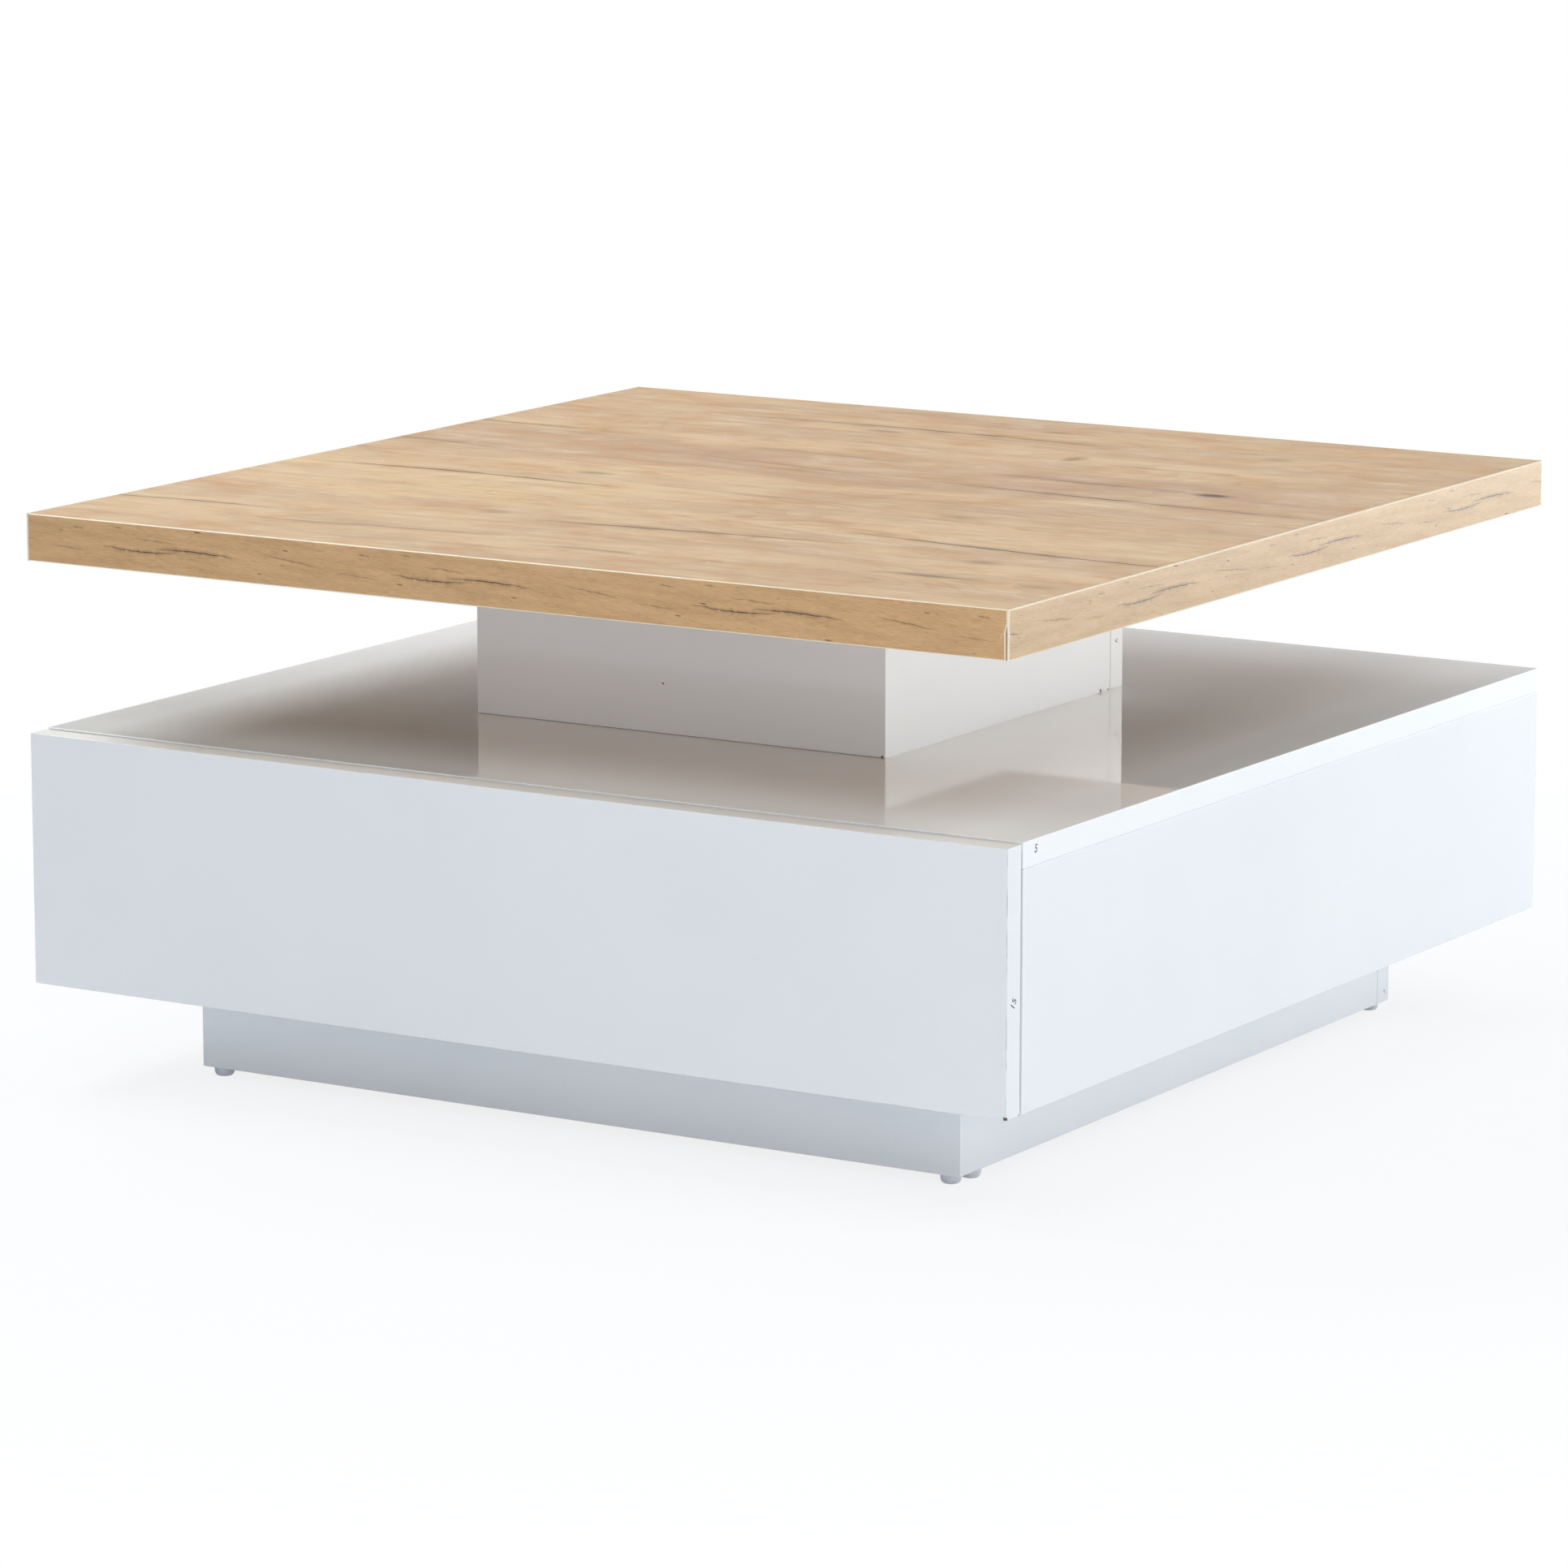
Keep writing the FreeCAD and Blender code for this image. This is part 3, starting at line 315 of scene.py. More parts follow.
# each lamp: bearing from +X and lift above the floor in degrees, size in metres, watts, linear colour
LAMPS = {
    "high_left": (180, 55, HIGH_SIZE, 36.0, (0.96, 1.0, 1.0)),
    "high_back": (90, 55, HIGH_SIZE, 12.0, (1.0, 1.0, 1.0)),
    "high_right": (0, 53, HIGH_SIZE, 14.5, (0.98, 0.99, 1.0)),
    "high_front": (270, 53, HIGH_SIZE, 14.0, (0.99, 1.0, 0.98)),
    "low_front_right": (315, 10, LOW_SIZE, 11.5, (0.98, 0.97, 1.0)),
    "low_back_right": (45, 10, LOW_SIZE, 21.5, (0.96, 1.0, 1.0)),
}
for name, (bearing, lift, size, watts, colour) in LAMPS.items():
    data = bpy.data.lights.new(name, "AREA")
    data.shape = "RECTANGLE"
    data.size, data.size_y = size
    data.energy = watts
    data.color = colour
    lamp = bpy.data.objects.new(name, data)
    bearing, lift = math.radians(bearing), math.radians(lift)
    across = LAMP_DISTANCE * math.cos(lift)
    up = LAMP_DISTANCE * math.sin(lift)
    lamp.location = (across * math.cos(bearing), across * math.sin(bearing), up)
    lamp.rotation_euler = (LAMP_AIM - lamp.location).to_track_quat("-Z", "Y").to_euler()
    bpy.context.scene.collection.objects.link(lamp)
print(len(LAMPS), "lamps:", sum(row[3] for row in LAMPS.values()), "W at", LAMP_DISTANCE, "m")

# %% [markdown]
# ## Oak decor
# The top is particle board faced with melamine paper: a printed oak film, pressed on with a satin grain. The
# print copies old planks: pale yellow, grey and orange-brown patches drawn out along the grain, fine grain
# lines, dark drying cracks that fade in and out, and a few small knots. A wood texture from wave rings would
# look turned, not sawn, so the planks are stretched noises, and each crack is a line of its own.
#
# A crack is drawn by one node group. First comes its line, which is straight, bowed and wandering at once:
# the group works out how far a point lies from it. The noise that bends the line is read along one axis
# only, so the line never doubles back.

# %% The line of a drying crack
CRACK_SHAPE = ("From", "To", "Height", "Rise", "Bow", "Width", "Wander")


def crack_line(tree, given, along, across):
    """The distance to a crack's line, with its arch (1 in the middle, 0 at both ends) and noise place."""
    run = add(tree, "MapRange", {"Value": along, 1: given["From"], 2: given["To"]}, clamp=True)
    rest = add(tree, "Math", {0: 1.0, 1: run}, operation="SUBTRACT")
    hump = add(tree, "Math", {0: run, 1: rest}, operation="MULTIPLY")
    arch = add(tree, "Math", {0: hump, 1: 4.0}, operation="MULTIPLY")

    start = add(tree, "Math", {0: along, 1: given["Pace"], 2: given["Height"]}, operation="MULTIPLY_ADD")
    noise = {"W": start, "Scale": 1.0, "Detail": 2.0, "Roughness": 0.5}
    drift = add(tree, "TexNoise", noise, noise_dimensions="1D")
    swing = add(tree, "Math", {0: drift, 1: 0.5}, operation="SUBTRACT")
    swung = add(tree, "Math", {0: swing, 1: given["Wander"], 2: given["Height"]}, operation="MULTIPLY_ADD")
    risen = add(tree, "Math", {0: run, 1: given["Rise"], 2: swung}, operation="MULTIPLY_ADD")
    line = add(tree, "Math", {0: arch, 1: given["Bow"], 2: risen}, operation="MULTIPLY_ADD")
    gap = add(tree, "Math", {0: across, 1: line}, operation="SUBTRACT")
    return add(tree, "Math", {0: gap}, operation="ABSOLUTE"), arch, start


print("a crack's shape:", ", ".join(CRACK_SHAPE))

# %% [markdown]
# Its half width swells and thins, and fades to nothing at the ends. A dark core has a faint halo five times
# as wide, where an old crack has taken up dirt.

# %% A drying crack
HALO_REACH = 5.0              # in half widths
HALO_DARK = 0.28              # of the core's darkness
THINNEST = 0.01               # millimetres: never quite nothing, because the distance is divided by it


def crack_group():
    """A node group: how dark a crack is at a point, in millimetres along and across the grain."""
    tree = bpy.data.node_groups.new("drying_crack", "ShaderNodeTree")
    tree.interface.new_socket(name="Point", in_out="INPUT", socket_type="NodeSocketVector")
    for name in (*CRACK_SHAPE, "Pace"):
        tree.interface.new_socket(name=name, in_out="INPUT", socket_type="NodeSocketFloat")
    tree.interface.new_socket(name="Dark", in_out="OUTPUT", socket_type="NodeSocketFloat")
    given = tree.nodes.new("NodeGroupInput").outputs
    xyz = add(tree, "SeparateXYZ", {0: given["Point"]}).outputs
    away, arch, start = crack_line(tree, given, xyz[0], xyz[1])

    faster = add(tree, "Math", {0: start, 1: 1.7}, operation="MULTIPLY")
    swell = add(tree, "TexNoise", {"W": faster, "Scale": 1.0, "Detail": 1.0}, noise_dimensions="1D")
    thick = add(tree, "MapRange", {"Value": swell, 1: 0.30, 2: 0.65, 3: 0.35, 4: 1.0}, clamp=True)
    taper = add(tree, "Math", {0: arch, 1: 0.5}, operation="POWER")
    body = add(tree, "Math", {0: thick, 1: taper}, operation="MULTIPLY")
    reach = add(tree, "Math", {0: given["Width"], 1: body, 2: THINNEST}, operation="MULTIPLY_ADD")

    smooth = {"clamp": True, "interpolation_type": "SMOOTHSTEP"}
    core = add(tree, "Math", {0: away, 1: reach}, operation="DIVIDE")
    core = add(tree, "MapRange", {"Value": core, 1: 0.25, 2: 1.0, 3: 1.0, 4: 0.0}, **smooth)
    wide = add(tree, "Math", {0: reach, 1: HALO_REACH}, operation="MULTIPLY")
    halo = add(tree, "MapRange", {"Value": away, 1: 0.0, 2: wide, 3: HALO_DARK, 4: 0.0}, **smooth)
    both = add(tree, "Math", {0: core, 1: halo}, operation="MAXIMUM")
    faded = add(tree, "Math", {0: both, 1: taper}, operation="MULTIPLY")
    result = tree.nodes.new("NodeGroupOutput")
    tree.links.new(faded.outputs[0], result.inputs["Dark"])
    return tree


CRACK = crack_group()


def cracks(tree, point, pace, rows):
    """The darkest of several cracks. A row is from, to, height, rise, bow, half width, wander, strength."""
    darkest = None
    for *shape, strength in rows:
        one = add(tree, "Group", node_tree=CRACK)
        tree.links.new(point.outputs[0], one.inputs["Point"])
        for name, value in zip(CRACK_SHAPE, shape):
            one.inputs[name].default_value = value
        one.inputs["Pace"].default_value = pace
        dark = add(tree, "Math", {0: one, 1: strength}, operation="MULTIPLY")
        darkest = add(tree, "Math", {0: darkest, 1: dark}, operation="MAXIMUM") if darkest else dark
    return darkest


print("crack group:", len(CRACK.nodes), "nodes")

# %% [markdown]
# The board's own pattern is written down in real millimetres, as a print designer would: where one plank ends
# and the next begins, how grey each is, and where the drawn-out cracks and knots lie. Everything between is
# noise stretched along the grain.
#
# The planks come first. Their seams and their grain are bent by the same slow noise, the grain more than the
# seams, so that neither runs ruler-straight. A colour ramp holds one grey tone for each plank.

# %% Planks
HALF = round(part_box("top_band_right")[1].x / MM)   # millimetres from the middle of the top to its edge
THROUGH = 900                 # millimetres: the print hardly changes from the board's top to its bottom
GRAIN_BEND = 40.0             # millimetres that the grain may swing sideways
SEAM_BEND = 0.3               # share of it that the seams follow
SEAM_SOFT = 9                 # millimetres over which one plank's tone turns into the next, each side
# each plank: where it begins across the grain, how grey-brown it is
PLANKS = (
    (-HALF, 0.36), (-300, 0.38), (-185, 0.18), (-72, 0.34),
    (35, 0.70), (160, 0.34), (250, 0.50), (345, 0.42),
)


def grain_bend(tree, point):
    """A slow sideways swing along the grain, as a vector in millimetres."""
    slow = add(tree, "Mapping", {"Vector": point, "Scale": per(300, 120, THROUGH)})
    bend = add(tree, "TexNoise", {"Vector": slow, "Scale": 1.0, "Detail": 1.5})
    bend = add(tree, "VectorMath", {0: bend.outputs["Color"], 1: (0.5, 0.5, 0.5)}, operation="SUBTRACT")
    return add(tree, "VectorMath", {0: bend, 1: (0.0, GRAIN_BEND, 0.0)}, operation="MULTIPLY")


def plank_tones(tree, point, bend):
    """How grey the print is at a point, 0 to 1, before its clouds."""
    seams = add(tree, "VectorMath", {0: bend, 1: (SEAM_BEND,) * 3, 2: point}, operation="MULTIPLY_ADD")
    across = add(tree, "SeparateXYZ", {0: seams}).outputs[1]
    across = add(tree, "MapRange", {"Value": across, 1: -HALF, 2: HALF})
    ramp = add(tree, "ValToRGB", {0: across})
    stops = ramp.color_ramp.elements
    stops.remove(stops[1])
    stops[0].color = (PLANKS[0][1],) * 3 + (1.0,)
    for (_, before), (seam, tone) in zip(PLANKS, PLANKS[1:]):
        for place, value in ((seam - SEAM_SOFT, before), (seam + SEAM_SOFT, tone)):
            stops.new((place + HALF) / (2 * HALF)).color = (value, value, value, 1.0)
    return ramp


def planks(tree, point, bend, grain):
    """The planks' ground colour, from pale yellow to grey-brown, clouded along the grain."""
    long = add(tree, "Mapping", {"Vector": grain, "Scale": per(150, 36, THROUGH)})
    cloud = add(tree, "TexNoise", {"Vector": long, "Scale": 1.0, "Detail": 4.0, "Roughness": 0.62})
    cloud = add(tree, "MapRange", {"Value": cloud, 1: 0.30, 2: 0.70, 3: -0.40, 4: 0.40})
    tones = {0: plank_tones(tree, point, bend), 1: cloud}
    greyness = add(tree, "Math", tones, operation="ADD", use_clamp=True)
    return add(tree, "Mix", {0: greyness, 6: paint("E2C399"), 7: paint("C19F82")}, data_type="RGBA")


print(len(PLANKS), "planks, the widest", max(b[0] - a[0] for a, b in zip(PLANKS, PLANKS[1:])), "mm")

# %% [markdown]
# Old oak is blotched: warm where the tannin shows, pale where it was planed. Both come from one noise with
# features about 5 x 2.5 cm, its high end orange and its low end pale. Where a plank is cut along its growth
# rings they draw long loops. Those are the height lines of a broad, low noise, as on a map: the noise times
# 26, with only the fraction kept.

# %% Blotches and growth rings
RINGS = 26.0                  # height lines over the whole range of the noise
RING_HILL = (420, 90)         # millimetres along and across the grain, for one hill of that noise


def blotches(tree, grain, colour):
    """Adds warm and pale blotches; returns the colour and the noise they come from."""
    long = add(tree, "Mapping", {"Vector": grain, "Scale": per(50, 26, THROUGH)})
    patch = add(tree, "TexNoise", {"Vector": long, "Scale": 1.0, "Detail": 5.0, "Roughness": 0.66})
    orange = add(tree, "MapRange", {"Value": patch, 1: 0.50, 2: 0.72, 3: 0.0, 4: 0.66}, clamp=True)
    colour = {0: orange, 6: colour.outputs[MIXED], 7: paint("C79059")}
    colour = add(tree, "Mix", colour, data_type="RGBA")
    pale = add(tree, "MapRange", {"Value": patch, 1: 0.47, 2: 0.26, 3: 0.0, 4: 0.60}, clamp=True)
    colour = {0: pale, 6: colour.outputs[MIXED], 7: paint("E5D2B6")}
    return add(tree, "Mix", colour, data_type="RGBA"), patch


def growth_rings(tree, grain, colour):
    """Adds growth rings cut lengthwise, in soft patches."""
    broad = add(tree, "Mapping", {"Vector": grain, "Scale": per(*RING_HILL, THROUGH)})
    hill = add(tree, "TexNoise", {"Vector": broad, "Scale": 1.0, "Detail": 1.5, "Roughness": 0.4})
    turns = add(tree, "Math", {0: hill, 1: RINGS}, operation="MULTIPLY")
    turns = add(tree, "Math", {0: turns}, operation="FRACT")
    ring = add(tree, "MapRange", {"Value": turns, 1: 0.55, 2: 1.0, 3: 0.0, 4: 1.0}, clamp=True)
    patches = add(tree, "Mapping", {"Vector": grain, "Scale": per(190, 60, THROUGH)})
    patches = add(tree, "TexNoise", {"Vector": patches, "Scale": 1.0, "Detail": 2.0})
    shown = add(tree, "MapRange", {"Value": patches, 1: 0.46, 2: 0.62, 3: 0.0, 4: 0.30}, clamp=True)
    ring = add(tree, "Math", {0: ring, 1: shown}, operation="MULTIPLY")
    return add(tree, "Mix", {0: ring, 6: colour.outputs[MIXED], 7: paint("A88567")}, data_type="RGBA")


print("growth rings:", round(RINGS), "lines round hills of", RING_HILL, "mm")

# %% [markdown]
# Weathering leaves grey streaks as long as a hand and a few millimetres wide. Over them lie the grain lines,
# a little over a millimetre apart, and the pores, which are short dark dashes. Both only lighten or darken
# what is there, so they multiply it.

# %% Streaks and fine grain
LINE_SIZE = (60, 1.3)         # millimetres along and across the grain
PORE_SIZE = (11, 0.9)


def streaks(tree, grain, colour):
    """Adds long grey streaks; returns the colour and the noise they come from."""
    long = add(tree, "Mapping", {"Vector": grain, "Scale": per(200, 7, THROUGH)})
    streak = add(tree, "TexNoise", {"Vector": long, "Scale": 1.0, "Detail": 4.0, "Roughness": 0.62})
    grey = add(tree, "MapRange", {"Value": streak, 1: 0.50, 2: 0.78, 3: 0.0, 4: 0.36}, clamp=True)
    colour = {0: grey, 6: colour.outputs[MIXED], 7: paint("A38C7D")}
    return add(tree, "Mix", colour, data_type="RGBA"), streak


def multiplied(tree, colour, tone):
    """A colour made lighter or darker by a tone."""
    grey = add(tree, "CombineColor", {0: tone, 1: tone, 2: tone})
    colour = {0: 1.0, 6: colour.outputs[MIXED], 7: grey}
    return add(tree, "Mix", colour, data_type="RGBA", blend_type="MULTIPLY")


def fine_grain(tree, grain, colour):
    """Adds grain lines and pores; returns the colour and the pores' noise."""
    close = add(tree, "Mapping", {"Vector": grain, "Scale": per(*LINE_SIZE, THROUGH)})
    fine = add(tree, "TexNoise", {"Vector": close, "Scale": 1.0, "Detail": 3.0, "Roughness": 0.7})
    lines = add(tree, "MapRange", {"Value": fine, 1: 0.3, 2: 0.7, 3: 0.90, 4: 1.08})
    dashes = add(tree, "Mapping", {"Vector": grain, "Scale": per(*PORE_SIZE, THROUGH)})
    pore = add(tree, "TexNoise", {"Vector": dashes, "Scale": 1.0, "Detail": 2.0})
    pores = add(tree, "MapRange", {"Value": pore, 1: 0.62, 2: 0.74, 3: 1.0, 4: 0.86}, clamp=True)
    lines = add(tree, "Math", {0: lines, 1: pores}, operation="MULTIPLY")
    return multiplied(tree, colour, lines), pore


print("grain lines:", LINE_SIZE, "mm, pores:", PORE_SIZE, "mm")

# %% [markdown]
# The dark marks come last. A knot is an oval with a ragged rim: the distance from its middle, in half sizes,
# plus a share of the blotches' noise. White specks of dust, one to a cell of 34 mm and hardly a millimetre
# across, finish the print.

# %% Cracks, knots and dust
# each crack: from, to, height, rise, bow, half width, wander, strength
BOARD_CRACKS = (
    (-260, 110, 296, -6, 9, 3.4, 5, 0.70), (-440, -290, 176, -8, 0, 3.2, 4, 0.70),
    (-160, 20, 152, -10, 2, 3.0, 5, 0.36), (110, 250, 212, -6, 0, 2.2, 4, 0.32),
    (70, 262, 126, -10, 0, 4.0, 6, 0.42), (-118, 34, 98, -32, -2, 2.4, 5, 0.45),
    (52, 440, 72, -24, -5, 2.6, 4, 0.80), (-440, -290, 62, -16, 6, 4.0, 5, 0.50),
    (-385, -105, -76, -2, 8, 3.0, 4, 0.95), (-140, 110, -50, -16, 2, 2.4, 6, 0.40),
    (130, 440, -168, -28, -6, 3.0, 4, 0.95), (-80, 172, -238, 24, 0, 2.8, 4, 0.95),
    (-440, -256, -304, 14, 9, 3.2, 6, 0.75), (-280, -30, -334, 28, 0, 3.0, 6, 0.50),
    (-20, 70, -333, 2, 2, 2.6, 4, 0.60), (240, 335, -310, 2, 2, 3.2, 6, 0.70),
    (-60, 420, -86, -4, 0, 1.8, 10, 0.28), (-380, -60, -140, 0, 2, 2.0, 8, 0.26),
)
BOARD_PACE = 0.014            # swings of a crack's noise in a millimetre
# each knot: middle along and across, half sizes, strength
KNOTS = (
    (100, 224, 7, 12, 0.50), (278, 113, 14, 7, 0.95), (-168, -24, 15, 7, 0.42), (172, -72, 16, 8, 0.34),
    (288, -240, 14, 8, 0.42), (284, -308, 26, 6, 0.55), (-124, -220, 12, 7, 0.30), (-96, 278, 16, 6, 0.42),
    (232, 298, 12, 10, 0.30), (20, 340, 14, 6, 0.34), (170, 60, 12, 7, 0.36), (372, -312, 16, 7, 0.34),
)


def knots(tree, point, patch, dark):
    """The darker of what is there and the knots."""
    ragged = add(tree, "MapRange", {"Value": patch, 1: 0.3, 2: 0.7, 3: -0.45, 4: 0.45})
    smooth = {"clamp": True, "interpolation_type": "SMOOTHSTEP"}
    for along, across, long, high, strength in KNOTS:
        offset = add(tree, "VectorMath", {0: point, 1: (along, across, 0)}, operation="SUBTRACT")
        offset = add(tree, "VectorMath", {0: offset, 1: (1 / long, 1 / high, 0)}, operation="MULTIPLY")
        far = add(tree, "VectorMath", {0: offset}, operation="LENGTH").outputs["Value"]
        far = add(tree, "Math", {0: far, 1: ragged}, operation="ADD")
        spot = add(tree, "MapRange", {"Value": far, 1: 0.1, 2: 1.5, 3: strength, 4: 0.0}, **smooth)
        dark = add(tree, "Math", {0: dark, 1: spot}, operation="MAXIMUM")
    return dark


def dusted(tree, point, colour):
    """Adds white specks of dust."""
    cells = add(tree, "Mapping", {"Vector": point, "Scale": per(34, 34, 34)})
    near = add(tree, "TexVoronoi", {"Vector": cells, "Scale": 1.0}).outputs["Distance"]
    dust = add(tree, "MapRange", {"Value": near, 1: 0.030, 2: 0.020, 3: 0.0, 4: 0.8}, clamp=True)
    return add(tree, "Mix", {0: dust, 6: colour.outputs[MIXED], 7: paint("FFF8EA")}, data_type="RGBA")


print(len(BOARD_CRACKS), "cracks,", len(KNOTS), "knots")

# %% [markdown]
# The film puts these steps together. It is satin, a little duller where the streaks are, and its bump presses
# the pores and the cracks into it.

# %% Oak film
def oak_film():
    """Printed oak paper on the top's large face, satin, with a shallow pressed grain."""
    material, tree, shader, point = new_material("oak_melamine_film", Roughness=0.42)
    bend = grain_bend(tree, point)
    grain = add(tree, "VectorMath", {0: point, 1: bend}, operation="ADD")
    colour = planks(tree, point, bend, grain)
    colour, patch = blotches(tree, grain, colour)
    colour = growth_rings(tree, grain, colour)
    colour, streak = streaks(tree, grain, colour)
    colour, pore = fine_grain(tree, grain, colour)
    dark = knots(tree, point, patch, cracks(tree, point, BOARD_PACE, BOARD_CRACKS))
    marked = {0: dark, 6: colour.outputs[MIXED], 7: paint("5C4638")}
    colour = dusted(tree, point, add(tree, "Mix", marked, data_type="RGBA"))
    tree.links.new(colour.outputs[MIXED], shader.inputs["Base Color"])

    sheen = add(tree, "MapRange", {"Value": streak, 1: 0.3, 2: 0.7, 3: 0.36, 4: 0.46}, clamp=True)
    tree.links.new(sheen.outputs[0], shader.inputs["Roughness"])
    height = add(tree, "Math", {0: dark, 1: -1.4, 2: pore}, operation="MULTIPLY_ADD")
    bump = add(tree, "Bump", {"Height": height, "Strength": 0.10, "Distance": RELIEF})
    tree.links.new(bump.outputs[0], shader.inputs["Normal"])
    return material


OAK_FILM = oak_film()
print("oak film:", len(OAK_FILM.node_tree.nodes), "nodes")

# %% [markdown]
# ## Edge band
# The edge band is extruded plastic with a print of its own: a strip that repeats about every quarter of a
# metre, with close grain that leans down to the right, short dark pores and one long ragged crack in each
# repeat. The point is folded back into one repeat with a modulo, so one crack serves the whole strip.

# %% Print of the edge band
REPEAT = 245.0                # millimetres from crack to crack
REPEATS_LEFT = 4              # whole repeats added, so that a place along the strip is never negative
FRONT_SHIFT = 332.0           # a crack starts this far left of the middle of the front band
SIDE_SHIFT = 255.0            # and this far towards the front from the middle of a side band
BAND_LEAN = 0.05              # how much the grain falls for each millimetre along
BAND_PACE = 0.11              # swings of a crack's noise in a millimetre
# each crack: from, to, height above the floor, rise, bow, half width, wander, strength
BAND_CRACKS = (
    (-2, 66, 395.6, -0.6, -1.7, 0.80, 1.6, 1.00), (44, 118, 396.2, -1.2, 1.3, 0.85, 1.6, 1.00),
    (66, 96, 397.8, -1.6, 0.0, 0.45, 1.0, 0.85), (26, 64, 402.8, -1.6, 0.0, 0.36, 1.6, 0.70),
    (8, 17, 409.6, -0.5, 0.0, 0.40, 0.5, 0.85), (218, 228, 406.9, -0.7, 0.0, 0.42, 0.5, 0.85),
    (140, 188, 399.9, -5.2, 0.0, 0.36, 1.2, 0.80), (200, 232, 392.4, -1.4, 0.0, 0.34, 1.0, 0.60),
)


def pore_dashes(tree, point, long, high, strength):
    """Short dashes of uneven size, one to a cell."""
    cells = add(tree, "Mapping", {"Vector": point, "Scale": per(long, high, 1)})
    cell = add(tree, "TexVoronoi", {"Vector": cells, "Scale": 1.0, "Randomness": 0.9}).outputs
    size = add(tree, "SeparateColor", {0: cell["Color"]})
    size = add(tree, "MapRange", {"Value": size, 1: 0.30, 2: 1.0, 3: 0.0, 4: 0.20}, clamp=True)
    part = add(tree, "Math", {0: size, 1: cell["Distance"]}, operation="SUBTRACT")
    return add(tree, "MapRange", {"Value": part, 1: 0.0, 2: 0.06, 3: 0.0, 4: strength}, clamp=True)


def band_print(tree, xyz, along, shift, low, high):
    """The band's printed colour, its darkness and its fine grain, for a strip along axis 0 (X) or 1 (Y)."""
    run = add(tree, "Math", {0: xyz[along], 1: shift + REPEATS_LEFT * REPEAT})
    lean = add(tree, "Math", {0: run, 1: BAND_LEAN, 2: xyz[2]}, operation="MULTIPLY_ADD")
    leaning = add(tree, "CombineXYZ", {0: run, 1: lean})
    broad = add(tree, "Mapping", {"Vector": leaning, "Scale": per(60, 7, 1)})
    broad = add(tree, "TexNoise", {"Vector": broad, "Scale": 1.0, "Detail": 3.0})
    tone = add(tree, "MapRange", {"Value": broad, 1: 0.3, 2: 0.7}, clamp=True)
    colour = add(tree, "Mix", {0: tone, 6: paint(low), 7: paint(high)}, data_type="RGBA")
    close = add(tree, "Mapping", {"Vector": leaning, "Scale": per(9, 0.55, 1)})
    fine = add(tree, "TexNoise", {"Vector": close, "Scale": 1.0, "Detail": 3.0, "Roughness": 0.7})
    lines = add(tree, "MapRange", {"Value": fine, 1: 0.3, 2: 0.7, 3: 0.77, 4: 1.13}, clamp=True)
    colour = multiplied(tree, colour, lines)

    fold = add(tree, "Math", {0: run, 1: REPEAT}, operation="FLOORED_MODULO")
    strip = add(tree, "CombineXYZ", {0: fold, 1: xyz[2]})
    pores = pore_dashes(tree, leaning, 19, 3.1, 0.80)
    small = pore_dashes(tree, leaning, 7, 1.5, 0.42)
    dark = add(tree, "Math", {0: pores, 1: small}, operation="MAXIMUM")
    split = cracks(tree, strip, BAND_PACE, BAND_CRACKS)
    dark = add(tree, "Math", {0: dark, 1: split}, operation="MAXIMUM")
    marked = {0: dark, 6: colour.outputs[MIXED], 7: paint("402C20")}
    return add(tree, "Mix", marked, data_type="RGBA"), dark, fine


print("band print: repeats every", REPEAT, "mm,", len(BAND_CRACKS), "cracks in a repeat")

# %% [markdown]
# The band is cream right through, and shows it wherever it was trimmed: along its rounded arrises and on its
# cut ends. The shader finds those by the normal, which on a rounded arris lies along none of the three axes.
# Where the loose corner at the front is bent, the plastic has turned pale along a crease.

# %% Bare plastic of the edge band
def outer_corner(front, right):
    """The lower front right corner of a box, in millimetres, from the nodes of its front and right side."""
    return Vector((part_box(right)[1].x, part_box(front)[0].y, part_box(front)[0].z)) / MM


BAND_CORNER = outer_corner("top_band_front", "top_band_right")
# the two ends of the crease, right, back and up from that corner, in millimetres
CREASE = [BAND_CORNER + Vector(offset) for offset in ((-2.0, 0.0, 23.0), (-11.5, 0.0, 5.0))]
CREASE_PALE = 0.38            # share of the print that has paled away


def trimmed(tree, along):
    """1 where the band's cream plastic shows: on its arrises and on the ends of its length."""
    facing = add(tree, "VectorMath", {0: add(tree, "TexCoord").outputs["Normal"]}, operation="ABSOLUTE")
    facing = add(tree, "SeparateXYZ", {0: facing}).outputs
    flat = add(tree, "Math", {0: facing[0], 1: facing[1]}, operation="MAXIMUM")
    flat = add(tree, "Math", {0: flat, 1: facing[2]}, operation="MAXIMUM")
    arris = add(tree, "MapRange", {"Value": flat, 1: 0.99, 2: 0.95, 3: 0.0, 4: 1.0}, clamp=True)
    end = add(tree, "MapRange", {"Value": facing[along], 1: 0.5, 2: 0.7}, clamp=True)
    return add(tree, "Math", {0: arris, 1: end}, operation="MAXIMUM")


